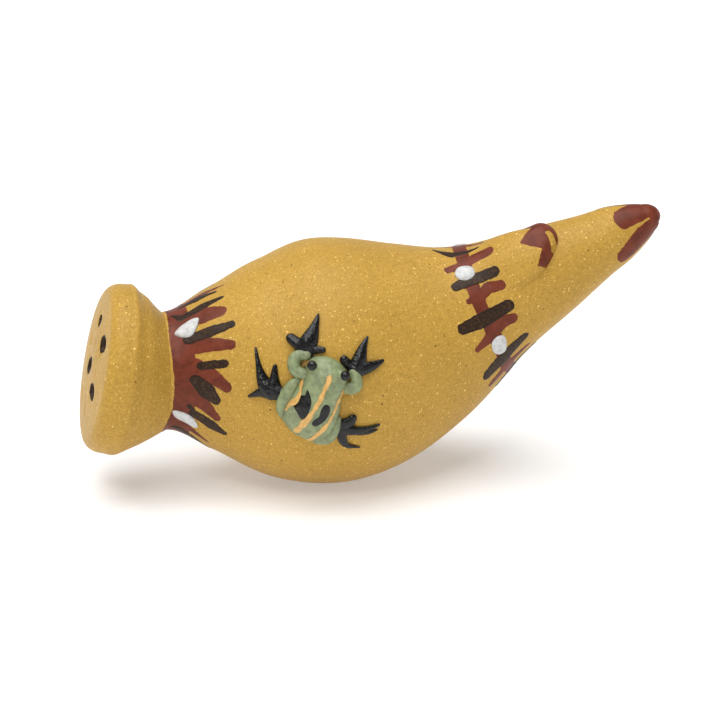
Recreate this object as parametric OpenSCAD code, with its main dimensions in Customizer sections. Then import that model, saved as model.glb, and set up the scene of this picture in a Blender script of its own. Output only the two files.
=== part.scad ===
// Ocarina: a hand-built clay vessel flute with a frog sitting on its belly.
// A round chamber draws in to a neck and flares to a foot, whose end disc carries the finger holes.
// The other end bends up, towards the player, and tapers to a beak with the windway in its underside.
// Millimetres. The origin is the middle of the flat under the belly, +Z is up and +X runs to the beak.

/* [Chamber] */
// Outer diameter of the belly
belly_d = 65; // [58:1:78]
// Thickness of the clay wall on the beak's side
wall = 4.5; // [4:0.1:5]
// Thickness of the clay wall at the foot, which is left heavier for balance
foot_wall = 7; // [5.5:0.1:7]
// Diameter of the flat worn under the belly
rest_d = 13; // [10:1:16]
// How far the foot's end is lifted, as a tilt of the whole body in degrees
pitch = 2.2; // [0:0.2:4]
// Distance from the middle of the belly to the neck
neck_at = 40; // [36:1:48]
// Outer diameter of the neck
neck_d = 31; // [26:1:37]
// Distance from the middle of the belly to the shoulder, where the beak starts
shoulder_at = 50; // [45:1:60]
// Outer diameter of the shoulder
shoulder_d = 34; // [30:1:40]

/* [Foot] */
// Length of the foot, from the neck to the crown of the end disc
foot_l = 19.5; // [16:0.5:24]
// Outer diameter of the foot's rim
foot_d = 44.5; // [38:0.5:54]
// How far the foot bends up from the body, in degrees
foot_bend = 11; // [0:1:15]
// Thickness of the end disc at its crown
face_t = 6.5; // [5:0.1:7.5]
// How far the crown of the end disc stands above its rim
face_dome = 1.5; // [0.5:0.1:2]
// Radius of the rounded rim
rim_round = 2; // [1:0.1:2.5]

/* [Finger holes] */
// Diameter of the finger holes
hole_d = 4; // [3:0.1:5]
// Diameter of the small tuning hole near the top
tuning_hole_d = 2.4; // [1.5:0.1:3]
// Width of the soft countersink around each hole
hole_lip = 1; // [0.5:0.1:1.2]
// Distance of the upper finger hole from the middle of the disc
upper_hole_at = 12.5; // [10:0.5:13]
// Distance of the lower finger hole from the middle of the disc
lower_hole_at = 10; // [8:0.5:13]

/* [Beak] */
// Length of the beak from the shoulder to its round tip
beak_l = 47; // [42:1:60]
// Outer diameter halfway along the beak
beak_mid_d = 23; // [20:0.5:26]
// Outer diameter where the round tip starts
tip_d = 8.6; // [8:0.2:11]
// Length of the round tip
tip_l = 3.5; // [2:0.5:5]
// How far the chamber and beak bend up, in degrees
beak_bend = 34; // [25:1:38]
// Radius of that bend
bend_r = 97; // [85:1:110]
// How far the bend leans towards the frog's side, in degrees
beak_lean = 20; // [10:1:25]

/* [Voicing] */
// Width of the windway
windway_w = 6; // [5:0.2:6.6]
// Height of the windway
windway_h = 1.8; // [1.4:0.1:2.2]
// How far the closing strip laps over the windway on each side
strip_lap = 0.8; // [0.5:0.1:1.2]
// Length of the sound window
window_l = 6; // [5:0.5:7]
// Turn of the window around the beak, from its top, in degrees
voice_angle = 200; // [190:5:210]

/* [Lobe] */
// Diameter of the lobe at its round end
lobe_d = 11; // [9:0.5:13]
// Length of the lobe along the beak
lobe_l = 15; // [12:0.5:17]

/* [Slip dots] */
// Number of white dots around the neck
neck_dots_n = 4; // [3:1:5]
// Number of white dots around the shoulder
shoulder_dots_n = 5; // [3:1:6]
// Length of a white dot
dot_l = 5.4; // [4:0.2:6.4]
// Height of a white dot
dot_h = 0.9; // [0.6:0.1:1.4]

/* [Frog] */
// Length of the frog's body
frog_l = 22.6; // [20:0.2:25]
// Width of the frog's body
frog_w = 14.4; // [13:0.2:16]
// Height of the frog's back above the clay
frog_h = 6; // [5:0.2:7]
// Diameter of an eye
eye_d = 2.8; // [2:0.1:3.2]
// Width of a yellow stripe
stripe_w = 1.2; // [0.8:0.1:1.4]
// How far stripes and spots stand above the back
stripe_h = 0.4; // [0.3:0.1:0.8]

/* [Hidden] */

SIDES = 44;
CLAY = "#b08a3c";
SLIP_WHITE = "#f2f0ea";
FROG_GREEN = "#8aa07a";
FROG_BLACK = "#101010";
FROG_YELLOW = "#d9ac52";

belly_r = belly_d / 2;
rest_drop = belly_r - sqrt(belly_r * belly_r - rest_d * rest_d / 4);
crown_at = -neck_at - foot_l;
disc_at = crown_at + face_t;
tip_at = shoulder_at + beak_l;
bend_from = -12;
bend_to = bend_from + bend_r * beak_bend * PI / 180;
seam_at = -6;

// The body's outer radius at named places along its centre line, foot first
STATIONS = [
    [disc_at, foot_d / 2],
    [disc_at + 2.5, foot_d / 2],
    [-neck_at, neck_d / 2],
    [-0.7 * neck_at, neck_d / 2 + 0.33 * (belly_r - neck_d / 2)],
    [-0.375 * neck_at, neck_d / 2 + 0.74 * (belly_r - neck_d / 2)],
    [0, belly_r],
    [0.3 * shoulder_at, belly_r - 0.07 * (belly_r - shoulder_d / 2)],
    [0.64 * shoulder_at, belly_r - 0.465 * (belly_r - shoulder_d / 2)],
    [shoulder_at, shoulder_d / 2],
    [shoulder_at + 0.47 * beak_l, beak_mid_d / 2],
    [tip_at - 5, tip_d / 2 + 1.6],
    [tip_at, tip_d / 2]
];

function clamp(v, lo, hi) = min(max(v, lo), hi);

// Slope of the radius at a station, from the stations on each side of it
function slope(i) =
    let (a = STATIONS[max(i - 1, 0)], b = STATIONS[min(i + 1, len(STATIONS) - 1)])
    (b[1] - a[1]) / (b[0] - a[0]);

function span_of(s, i = 0) =
    i >= len(STATIONS) - 2 || s < STATIONS[i + 1][0] ? i : span_of(s, i + 1);

// Outer radius of the body at a distance s along its centre line: a smooth curve through the stations
function body_r(s) =
    let (
        i = span_of(s),
        a = STATIONS[i],
        b = STATIONS[i + 1],
        h = b[0] - a[0],
        t = clamp((s - a[0]) / h, 0, 1)
    )
    (1 + 2 * t) * (1 - t) * (1 - t) * a[1] + t * (1 - t) * (1 - t) * h * slope(i)
    + t * t * (3 - 2 * t) * b[1] + t * t * (t - 1) * h * slope(i + 1);

// Turns a point about Y, so that the foot's end rises by the pitch
function pitched(p) =
    [p.x * cos(pitch) + p.z * sin(pitch), p.y, p.z * cos(pitch) - p.x * sin(pitch)];

foot_bend_r = (foot_l - face_t) / foot_bend * 180 / PI;

// Centre line before the pitch: it bends up in the foot, runs straight, then arcs into the beak
function line_point(s) =
    s < -neck_at
    ? let (f = foot_turn(s), over = min(s - disc_at, 0))
      [-neck_at - foot_bend_r * sin(f) + over * cos(f), 0, foot_bend_r * (1 - cos(f)) - over * sin(f)]
    : let (
        t = beak_turn(s),
        past = max(s - bend_to, 0),
        x = s < bend_from ? s : bend_from + bend_r * sin(t) + past * cos(t),
        rise = bend_r * (1 - cos(t)) + past * sin(t)
    )
      [x, -rise * sin(beak_lean), rise * cos(beak_lean)];

function foot_turn(s) = clamp(-neck_at - s, 0, foot_l - face_t) / foot_bend_r * 180 / PI;
function beak_turn(s) = clamp(s - bend_from, 0, bend_to - bend_from) / bend_r * 180 / PI;

function line_direction(s) =
    s < -neck_at
    ? [cos(foot_turn(s)), 0, -sin(foot_turn(s))]
    : let (t = beak_turn(s)) [cos(t), -sin(t) * sin(beak_lean), sin(t) * cos(beak_lean)];

// Place and directions of the centre line at s: point, along, upwards and towards the frog's side
function unset_place_at(s) =
    let (
        along = pitched(line_direction(s)),
        side = cross(along, [0, 0, 1]) / norm(cross(along, [0, 0, 1]))
    )
    [pitched(line_point(s)), along, cross(side, along), side];

// The lowest points under the belly, and the move that sets the middle of the flat at the origin
underneath = [
    for (s = steps(-0.4 * belly_r, 0.4 * belly_r, 52))
        let (p = unset_place_at(s)) p[0] - body_r(s) * p[2]
];
lowest = min([for (p = underneath) p.z]);
rest_move = [-[for (p = underneath) if (p.z == lowest) p.x][0], 0, -lowest - rest_drop];

function place_at(s) = let (p = unset_place_at(s)) [p[0] + rest_move, p[1], p[2], p[3]];

// A point at distance s, turned by angle from the top towards the frog's side, r from the centre line
function around(s, angle, r) =
    let (p = place_at(s)) p[0] + r * (cos(angle) * p[2] + sin(angle) * p[3]);

// A point of the outer surface, lifted off it by h
function on_body(s, angle, h = 0) = around(s, angle, body_r(s) + h);

function ring(s, r) = [for (k = [0:SIDES - 1]) around(s, k * 360 / SIDES, r)];

// Wall thickness, which grows from the belly towards the foot
function wall_at(s) = wall + (foot_wall - wall) * clamp((belly_r / 2 - s) / (belly_r / 2 + neck_at), 0, 1);

function steps(from, to, n) = [for (i = [0:n]) from + (to - from) * i / n];

// A patch of the surface around (s, angle) in millimetres: x runs right and y up once turned
function on_patch(at, x, y, h) =
    let (u = y * sin(at[2]) + x * cos(at[2]), v = y * cos(at[2]) - x * sin(at[2]))
    on_body(at[0] + u, at[1] - v / body_r(at[0]) * 180 / PI, h);

// One closed skin over a list of rings; loop joins the last ring to the first, else both ends close
module skin(rings, loop = false) {
    n = len(rings[0]);
    m = len(rings);
    points = [for (r = rings) each r];
    ends = loop ? [] : [middle_of(rings[0]), middle_of(rings[m - 1])];
    sides = [
        for (i = [0:m - (loop ? 1 : 2)], k = [0:n - 1])
            let (a = i * n, b = (i + 1) % m * n, j = (k + 1) % n)
            each [[a + k, b + k, b + j], [a + k, b + j, a + j]]
    ];
    first = [for (k = [0:n - 1]) [m * n, k, (k + 1) % n]];
    last = [for (k = [0:n - 1]) [m * n + 1, (m - 1) * n + (k + 1) % n, (m - 1) * n + k]];
    polyhedron(concat(points, ends), loop ? sides : concat(sides, first, last));
}

function middle_of(points) = sum_of(points) / len(points);
function sum_of(points, i = 0) =
    i == len(points) - 1 ? points[i] : points[i] + sum_of(points, i + 1);

// A hollow length of the body between two places along it
module shell(from, to, n) {
    skin([
        for (s = steps(from, to, n)) ring(s, body_r(s)),
        for (s = steps(to, from, n)) ring(s, body_r(s) - wall_at(s))
    ], loop = true);
}

// Everything below the surface that the belly rests on
module below() {
    translate([-belly_d, -belly_d, -belly_d]) cube([2 * belly_d, 2 * belly_d, belly_d]);
}

module foot_bell() {
    color(CLAY) shell(disc_at, -neck_at, 6);
}

module tail_bowl() {
    color(CLAY) difference() {
        shell(-neck_at, seam_at, 13);
        below();
    }
}

// Moves children onto the end of the foot, with +Z out of it, +X to the frog's side and +Y up
module on_disc() {
    p = place_at(disc_at);
    translate(p[0]) rotate([0, -90 + foot_bend + pitch, 0]) rotate(-90) children();
}

// Radius of the sphere that the disc's domed face is part of
dome_half = foot_d / 2 - rim_round;
dome_r = (dome_half * dome_half + face_dome * face_dome) / (2 * face_dome);

module finger_hole(d, from_middle, angle) {
    rotate(angle) translate([from_middle, 0, 0]) {
        translate([0, 0, -1]) cylinder(d = d, h = face_t + 2, $fn = 48);
        translate([0, 0, face_t - face_dome - hole_lip])
            cylinder(d1 = d, d2 = d + 2 * (hole_lip + face_dome), h = hole_lip + face_dome, $fn = 48);
    }
}

module foot_face() {
    edge = face_t - face_dome;
    color(CLAY) on_disc() difference() {
        rotate_extrude($fn = 96) intersection() {
            square([foot_d / 2, face_t]);
            union() {
                square([foot_d / 2, edge - rim_round]);
                square([dome_half, edge]);
                translate([dome_half, edge - rim_round]) circle(rim_round, $fn = 48);
                intersection() {
                    translate([0, face_t - dome_r]) circle(dome_r, $fn = 360);
                    translate([0, edge - 0.01]) square([dome_half, face_dome + 1]);
                }
            }
        }
        finger_hole(hole_d, 0, 0);
        finger_hole(hole_d, upper_hole_at, 45);
        finger_hole(hole_d, lower_hole_at, -25);
        finger_hole(tuning_hole_d, upper_hole_at - 0.5, 98);
    }
}

// Lies along the windway, from its exit over the window out to the mouth, with +Z out of the clay
windway_at = shoulder_d / 2 - wall + 1;
mouth_drop = 1.4;
module along_windway() {
    a = around(shoulder_at, voice_angle, windway_at);
    b = around(tip_at, voice_angle, mouth_drop);
    p = place_at(tip_at);
    out = cos(voice_angle) * p[2] + sin(voice_angle) * p[3];
    x = (b - a) / norm(b - a);
    y = cross(out, x) / norm(cross(out, x));
    z = cross(x, y);
    multmatrix([
        [x.x, y.x, z.x, a.x],
        [x.y, y.y, z.y, a.y],
        [x.z, y.z, z.z, a.z],
        [0, 0, 0, 1]
    ]) children();
}

// A square-edged channel from one place along the windway to another
module channel(from, to, w, low, high) {
    translate([from, -w / 2, low]) cube([to - from, w, high - low]);
}

strip_l = beak_l - 9;

// The chamber's nose runs on from the shoulder into the root of the beak, and a shelf is left around it
nose_shelf = 1.5;
nose_l = 12;
nose_r = shoulder_d / 2 - wall - nose_shelf;

module beak_solid() {
    skin([
        for (t = [0.3, 0.8, 1]) ring(shoulder_at + nose_l * sqrt(1 - t * t), nose_r * t),
        for (s = steps(shoulder_at, tip_at, 10)) ring(s, body_r(s)),
        for (t = [0.4, 0.75, 0.95]) ring(tip_at + t * tip_l, tip_d / 2 * sqrt(1 - t * t))
    ]);
}

module beak() {
    color(CLAY) difference() {
        beak_solid();
        along_windway() {
            channel(-belly_r, beak_l + belly_r, windway_w, 0, windway_h);
            channel(-belly_r, strip_l, windway_w + 2 * strip_lap, windway_h, belly_r);
        }
    }
}

module windway_strip() {
    color(CLAY) intersection() {
        beak_solid();
        along_windway() channel(-belly_r, strip_l, windway_w + 2 * strip_lap, windway_h, belly_r);
    }
}

// Length and slope of the ramp cut behind the window's edge
ramp_l = 16;
ramp_angle = 22;

// The window is open to the outside, and a ramp thins its far side to the edge that splits the air
module beak_bowl() {
    color(CLAY) difference() {
        shell(seam_at, shoulder_at, 14);
        below();
        along_windway() rotate([90, 0, 0]) linear_extrude(windway_w, center = true) polygon([
            [1, -2 * wall],
            [-window_l, -2 * wall],
            [-window_l, windway_h / 2],
            [-window_l - ramp_l, windway_h / 2 + ramp_l * tan(ramp_angle)],
            [1, windway_h / 2 + ramp_l * tan(ramp_angle)]
        ]);
    }
}

// Middle of the lobe's round end
lobe_end = [shoulder_at + 20, 47];

module lobe() {
    color(CLAY) difference() {
        skin([
            for (t = [0, 0.2, 0.4, 0.6, 0.8, 0.93, 1])
                let (
                    s = lobe_end[0] - lobe_l * (1 - t),
                    r = lobe_d / 2 * (t < 0.8 ? 0.45 + 0.55 * sqrt(t / 0.8) : cos(asin((t - 0.8) * 4.4))),
                    p = place_at(s),
                    c = on_body(s, lobe_end[1], -1.2 + 1.2 * t)
                )
                [for (k = [0:23]) c + r * (cos(15 * k) * p[2] + sin(15 * k) * p[3])]
        ]);
        beak_solid();
    }
}

// How far a cutting dome is sunk, so that it leaves no sliver under itself
cut_sink = 0.5;

// A low dome on the surface: rings run out under it to its rim and back over it to its crown
module dome(at, middle, rim, h, sink = 0) {
    skin([
        for (t = [0.35, 0.7, 1])
            [for (e = rim) on_patch(at, middle.x + t * e.x, middle.y + t * e.y, -sink)],
        for (t = [0.95, 0.75, 0.45])
            [for (e = rim) on_patch(at, middle.x + t * e.x, middle.y + t * e.y, h * sqrt(1 - t * t))]
    ]);
}

// An oval rim with rounded corners; power 2 is an ellipse and more is squarer
function oval(l, w, turn = 0, power = 2, n = 24) = [
    for (k = [0:n - 1])
        let (
            c = cos(360 * k / n),
            s = sin(360 * k / n),
            x = w / 2 * sign(c) * pow(abs(c), 2 / power),
            y = l / 2 * sign(s) * pow(abs(s), 2 / power)
        )
        [x * cos(turn) + y * sin(turn), y * cos(turn) - x * sin(turn)]
];

// A foot's rim: a round palm with toes, each [direction, length, half its angle at the palm]
function foot_rim(palm, toes) = [
    for (t = toes) each [
        palm * [cos(t[0] - t[2]), sin(t[0] - t[2])],
        (t[1] - 0.5) * [cos(t[0] - 4), sin(t[0] - 4)],
        t[1] * [cos(t[0]), sin(t[0])],
        (t[1] - 0.5) * [cos(t[0] + 4), sin(t[0] + 4)],
        palm * [cos(t[0] + t[2]), sin(t[0] + t[2])]
    ]
];

// The frog sits here: place along the body, turn around it, and turn of its head
frog_at = [-5.5, 88, 30];
frog_middle = [0.2, 1.1];
frog_rim = oval(frog_l, frog_w, power = 2.5, n = 28);

// Height of the frog's back above the clay
function back_h(x, y) =
    let (t = pow(abs(x - frog_middle.x) / frog_w * 2, 2.5) + pow(abs(y - frog_middle.y) / frog_l * 2, 2.5))
    frog_h * sqrt(max(0, 1 - pow(t, 0.8)));

module frog_solid(sink = 0) {
    dome(frog_at, frog_middle, frog_rim, frog_h, sink);
}

module frog_body() {
    color(FROG_GREEN) frog_solid();
}

// A limb or foot lies on the clay and stops where it meets the body
module beside_body(colour, middle, rim, h) {
    color(colour) difference() {
        dome(frog_at, middle, rim, h);
        frog_solid(cut_sink);
    }
}

half_w = frog_w / 2;
half_l = frog_l / 2;
left_arm_at = frog_middle + [-half_w - 1.8, half_l * 0.54];
right_arm_at = frog_middle + [half_w + 1.4, half_l * 0.62];
left_thigh_at = frog_middle + [-half_w - 0.9, -half_l * 0.3];
right_thigh_at = frog_middle + [half_w - 0.3, -half_l * 0.55];
arm_oval = [5.2, 4.2];
left_thigh_oval = [9.6, 3.6];
right_thigh_oval = [8, 3.6];
left_thigh_turn = -4;
right_thigh_turn = -15;

function limb_rim(size, turn) = oval(size[0], size[1], turn, n = 18);

module limb(middle, size, turn, h) {
    beside_body(FROG_GREEN, middle, limb_rim(size, turn), h);
}

module frog_left_arm() {
    limb(left_arm_at, arm_oval, 0, 3.2);
}

module frog_right_arm() {
    limb(right_arm_at, arm_oval, 20, 3.2);
}

module frog_left_thigh() {
    limb(left_thigh_at, left_thigh_oval, left_thigh_turn, 3.6);
}

module frog_right_thigh() {
    limb(right_thigh_at, right_thigh_oval, right_thigh_turn, 3);
}

// Cuts away the room of a limb
module limb_room(middle, size, turn, h) {
    dome(frog_at, middle, limb_rim(size, turn), h, cut_sink);
}

// A black foot lies on the clay and stops where it meets its own limb and the body
module black_foot(middle, palm, toes, h) {
    difference() {
        beside_body(FROG_BLACK, middle, foot_rim(palm, toes), h);
        children();
    }
}

module frog_left_forefoot() {
    black_foot(left_arm_at + [1.2, 4.6], 2.6, [[-5, 6, 35], [84, 10, 30], [160, 6.4, 30], [250, 3, 30]], 2)
        limb_room(left_arm_at, arm_oval, 0, 3.2);
}

module frog_right_forefoot() {
    black_foot(right_arm_at + [-0.3, 4.8], 2.3, [[25, 8.5, 25], [85, 9, 25], [165, 4.8, 30], [270, 3, 35]], 2)
        limb_room(right_arm_at, arm_oval, 20, 3.2);
}

module frog_left_hindfoot() {
    black_foot(left_thigh_at + [-3.9, -0.4], 2.8, [[0, 3.3, 40], [105, 7, 22], [138, 13, 12], [238, 6.2, 26]], 2)
        limb_room(left_thigh_at, left_thigh_oval, left_thigh_turn, 3.6);
}

module frog_right_hindfoot() {
    black_foot(right_thigh_at + [4.2, 3.6], 2, [[20, 8.6, 20], [88, 4.4, 30], [200, 4, 40], [318, 7, 22]], 1.6)
        limb_room(right_thigh_at, right_thigh_oval, right_thigh_turn, 3);
}

// An eye is a bead seated in the head
module eye(x, y) {
    color(FROG_BLACK) difference() {
        translate(on_patch(frog_at, x, y, back_h(x, y) + eye_d * 0.15)) sphere(d = eye_d, $fn = 32);
        frog_solid();
    }
}

module frog_left_eye() {
    eye(frog_middle.x - half_w * 0.84, frog_middle.y + half_l * 0.6);
}

module frog_right_eye() {
    eye(frog_middle.x + half_w * 0.72, frog_middle.y + half_l * 0.74);
}

// A ribbon along a path over the frog's back, sunk to its seat and standing stripe_h above it
module stripe(path) {
    color(FROG_YELLOW) difference() {
        skin([
            for (e = path) [
                for (c = [[0.5, -0.6], [0.5, stripe_h * 0.4], [0.2, stripe_h], [-0.2, stripe_h],
                          [-0.5, stripe_h * 0.4], [-0.5, -0.6]])
                    let (x = e.x + c[0] * stripe_w, y = e.y)
                    on_patch(frog_at, x, y, back_h(x, y) + c[1])
            ]
        ]);
        frog_solid();
    }
}

// A stripe from the head to the rear at a share of the body's half width, bowed by a share of it
function stripe_path(share, bow, from, to) = [
    for (t = steps(0, 1, 8))
        frog_middle + [half_w * (share + bow * (2 * t - 1) * (2 * t - 1)), half_l * (from + (to - from) * t)]
];

module frog_left_stripe() {
    stripe(stripe_path(-0.72, 0.04, 0.4, -0.72));
}

module frog_middle_stripe() {
    stripe(stripe_path(-0.14, 0.12, 0.7, -0.86));
}

module frog_right_stripe() {
    stripe(stripe_path(0.62, 0.02, 0.5, -0.78));
}

// A black patch on the back, its skin running from under the back to stripe_h above it
module spot(middle, rim) {
    color(FROG_BLACK) difference() {
        skin([
            for (c = [[0.5, -0.6], [1, -0.6], [1, 0.1], [0.85, stripe_h], [0.4, stripe_h]])
                [for (e = rim) let (q = middle + c[0] * e) on_patch(frog_at, q.x, q.y, back_h(q.x, q.y) + c[1])]
        ]);
        frog_solid();
    }
}

module frog_left_spot() {
    spot(frog_middle + [-half_w * 0.46, -half_l * 0.25], oval(5.6, 2.6, 8, n = 16));
}

module frog_right_spot() {
    spot(frog_middle + [half_w * 0.26, -half_l * 0.14], oval(5, 2, 4, n = 16));
}

// White dots spaced evenly around the body, the first one at a given angle
module dots(n, s, first) {
    color(SLIP_WHITE) for (i = [0:n - 1])
        dome([s, first + 360 * i / n, 0], [0, 0], oval(dot_l * 0.8, dot_l, n = 16), dot_h);
}

module neck_dots() {
    dots(neck_dots_n, -neck_at + 5, 32);
}

module shoulder_dots() {
    dots(shoulder_dots_n, shoulder_at - 1.5, 39);
}

foot_face();
foot_bell();
tail_bowl();
beak_bowl();
beak();
windway_strip();
lobe();
neck_dots();
shoulder_dots();
frog_body();
frog_left_arm();
frog_right_arm();
frog_left_thigh();
frog_right_thigh();
frog_left_forefoot();
frog_right_forefoot();
frog_left_hindfoot();
frog_right_hindfoot();
frog_left_eye();
frog_right_eye();
frog_left_stripe();
frog_middle_stripe();
frog_right_stripe();
frog_left_spot();
frog_right_spot();
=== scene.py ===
"""The look of a hand-built clay ocarina: speckled clay, painted slip and a small frog on its belly."""

import bpy
import numpy as np
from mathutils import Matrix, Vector


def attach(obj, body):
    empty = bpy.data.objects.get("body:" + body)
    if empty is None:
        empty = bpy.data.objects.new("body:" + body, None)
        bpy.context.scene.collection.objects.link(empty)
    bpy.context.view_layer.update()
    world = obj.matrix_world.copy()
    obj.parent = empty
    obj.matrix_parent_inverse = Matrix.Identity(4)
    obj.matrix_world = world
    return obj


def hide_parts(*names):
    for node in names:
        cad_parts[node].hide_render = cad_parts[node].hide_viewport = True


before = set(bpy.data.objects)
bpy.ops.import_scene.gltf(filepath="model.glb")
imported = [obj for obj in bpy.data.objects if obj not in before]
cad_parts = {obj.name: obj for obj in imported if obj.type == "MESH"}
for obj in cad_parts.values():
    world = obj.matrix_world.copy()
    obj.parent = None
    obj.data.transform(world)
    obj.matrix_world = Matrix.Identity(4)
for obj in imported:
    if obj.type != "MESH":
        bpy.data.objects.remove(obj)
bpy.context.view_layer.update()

bl_info = {
    "name": "Clay Ocarina",
    "version": (1, 0, 0),
    "blender": (4, 5, 0),
    "location": "View3D > Sidebar > Ocarina",
    "description": "Builds the clay, the slip and the frog of an ocarina around its packed model",
    "category": "Object",
}

# Metres in a millimetre: sizes here are in millimetres, as in the part's source
MM = 0.001

# Sizes of the body, the same as in the part's source
BELLY_R = 32.5
WALL = 4.5
FOOT_WALL = 7.0
REST_D = 13.0
PITCH = 2.2
NECK_AT = 40.0
NECK_R = 15.5
SHOULDER_AT = 50.0
SHOULDER_R = 17.0
FOOT_L = 19.5
FOOT_R = 22.25
FOOT_BEND = 11.0
FACE_T = 6.5
FACE_DOME = 1.5
BEAK_L = 47.0
BEAK_MID_R = 11.5
TIP_R = 4.3
BEAK_BEND = 34.0
BEND_R = 97.0
BEAK_LEAN = 20.0
BEND_FROM = -12.0
SEAM_AT = -6.0
WINDWAY_W = 6.0
WINDWAY_H = 1.8
STRIP_LAP = 0.8
WINDOW_L = 6.0
VOICE_ANGLE = 200.0
RAMP_L = 16.0
RAMP_ANGLE = 22.0
MOUTH_DROP = 1.4
NOSE_L = 12.0
NOSE_R = SHOULDER_R - WALL - 1.5
STRIP_L = BEAK_L - 9
DISC_AT = -NECK_AT - FOOT_L + FACE_T
TIP_AT = SHOULDER_AT + BEAK_L
BEND_TO = BEND_FROM + BEND_R * np.radians(BEAK_BEND)
FROG_AT = (-5.5, 88.0, 30.0)

# Length that keeps the foot's full radius, behind its flare
RIM_L = 2.5

# Length of the beak's round tip and width of the disc's round rim, softer than the part's own, so that
# what shows stays inside it, and how far before the tip the rounding starts
TIP_L = 3.2
RIM_WIDE = 4.2
TIP_ROUND = 4.5

# Number of columns around the body's skins, and the angle of each
COLUMNS = 480
COLUMN_ANGLES = np.arange(COLUMNS) * 360 / COLUMNS

# Depth inside the slip where there is none near
BARE = -99.0

# How far the red and the dark slip stand above the clay
RED_LIFT = 0.08
DARK_LIFT = 0.12

# From this place on, the beak's tip is all red
CAP_FROM = 97.2

# Where the spacing of the skin's rows changes: the slip needs them close, from FOOT_ROWS to NECK_ROWS and
# from SHOULDER_ROWS on
FOOT_ROWS = -43
NECK_ROWS = -23.5
SHOULDER_ROWS = 40.5

# Edges that turn more than this are shaded as sharp
HARD_EDGE = np.radians(50)

# The outer radius at places along the centre line, foot first
STATIONS = np.array([
    [DISC_AT, FOOT_R],
    [DISC_AT + RIM_L, FOOT_R],
    [-NECK_AT, NECK_R],
    [-0.7 * NECK_AT, NECK_R + 0.33 * (BELLY_R - NECK_R)],
    [-0.375 * NECK_AT, NECK_R + 0.74 * (BELLY_R - NECK_R)],
    [0, BELLY_R],
    [0.3 * SHOULDER_AT, BELLY_R - 0.07 * (BELLY_R - SHOULDER_R)],
    [0.64 * SHOULDER_AT, BELLY_R - 0.465 * (BELLY_R - SHOULDER_R)],
    [SHOULDER_AT, SHOULDER_R],
    [SHOULDER_AT + 0.47 * BEAK_L, BEAK_MID_R],
    [TIP_AT - 5, TIP_R + 1.6],
    [TIP_AT, TIP_R],
])


# ---------------------------------------------------------------- the body's shape


def body_radius(s):
    """Radius at s along the centre line: a cubic through the stations, with slopes from their neighbours."""
    at, r = STATIONS.T
    number = np.arange(len(r))
    after = np.minimum(number + 1, len(r) - 1)
    before = np.maximum(number - 1, 0)
    slope = (r[after] - r[before]) / (at[after] - at[before])
    i = np.clip(np.searchsorted(at, s, side="right") - 1, 0, len(r) - 2)
    h = at[i + 1] - at[i]
    t = np.clip((s - at[i]) / h, 0, 1)
    low = (1 + 2 * t) * (1 - t) ** 2 * r[i] + t * (1 - t) ** 2 * h * slope[i]
    return low + t * t * (3 - 2 * t) * r[i + 1] + t * t * (t - 1) * h * slope[i + 1]


def degree_length(s):
    """Length of one degree of turn around the body at s."""
    return body_radius(s) * np.pi / 180


def pitched(v):
    """Turns vectors about Y by the pitch, so that the foot's end rises."""
    c = np.cos(np.radians(PITCH))
    s = np.sin(np.radians(PITCH))
    return np.stack([v[..., 0] * c + v[..., 2] * s, v[..., 1], v[..., 2] * c - v[..., 0] * s], -1)


def unit(v):
    """Vectors at length one."""
    return v / np.linalg.norm(v, axis=-1, keepdims=True)


def unset_place(s):
    """Point, along, up and side of the centre line: an arc in the foot, a straight, an arc into the beak."""
    s = np.asarray(s, float)
    zero = 0 * s
    foot_r = (FOOT_L - FACE_T) / np.radians(FOOT_BEND)
    f = np.clip(-NECK_AT - s, 0, FOOT_L - FACE_T) / foot_r
    over = np.minimum(s - DISC_AT, 0)
    foot_x = -NECK_AT - foot_r * np.sin(f) + over * np.cos(f)
    foot = np.stack([foot_x, zero, foot_r * (1 - np.cos(f)) - over * np.sin(f)], -1)
    t = np.clip(s - BEND_FROM, 0, BEND_TO - BEND_FROM) / BEND_R
    past = np.maximum(s - BEND_TO, 0)
    lean = np.array([-np.sin(np.radians(BEAK_LEAN)), np.cos(np.radians(BEAK_LEAN))])
    x = np.where(s < BEND_FROM, s, BEND_FROM + BEND_R * np.sin(t) + past * np.cos(t))
    rise = BEND_R * (1 - np.cos(t)) + past * np.sin(t)
    beak = np.stack([x, rise * lean[0], rise * lean[1]], -1)
    in_foot = (s < -NECK_AT)[..., None]
    foot_along = np.stack([np.cos(f), zero, -np.sin(f)], -1)
    beak_along = np.stack([np.cos(t), np.sin(t) * lean[0], np.sin(t) * lean[1]], -1)
    point = pitched(np.where(in_foot, foot, beak))
    along = pitched(np.where(in_foot, foot_along, beak_along))
    side = unit(np.cross(along, [0.0, 0.0, 1.0]))
    return point, along, np.cross(side, along), side


def rest_move():
    """The move that sets the middle of the flat under the belly at the origin."""
    s = np.linspace(-0.4 * BELLY_R, 0.4 * BELLY_R, 53)
    point, _, up, _ = unset_place(s)
    under = point - body_radius(s)[:, None] * up
    lowest = under[under[:, 2].argmin()]
    drop = BELLY_R - np.sqrt(BELLY_R**2 - REST_D**2 / 4)
    return np.array([-lowest[0], 0, -lowest[2] - drop])


REST_MOVE = rest_move()


def place(s):
    """Point, along, up and side of the centre line, with the body at rest."""
    point, along, up, side = unset_place(s)
    return point + REST_MOVE, along, up, side


def around(s, angle, r):
    """Points at distance s, turned by angle from the top towards the frog's side, r from the centre line."""
    s, angle, r = np.broadcast_arrays(np.asarray(s, float), angle, r)
    point, _, up, side = place(s)
    a = np.radians(angle)
    return point + (r * np.cos(a))[..., None] * up + (r * np.sin(a))[..., None] * side


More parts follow.
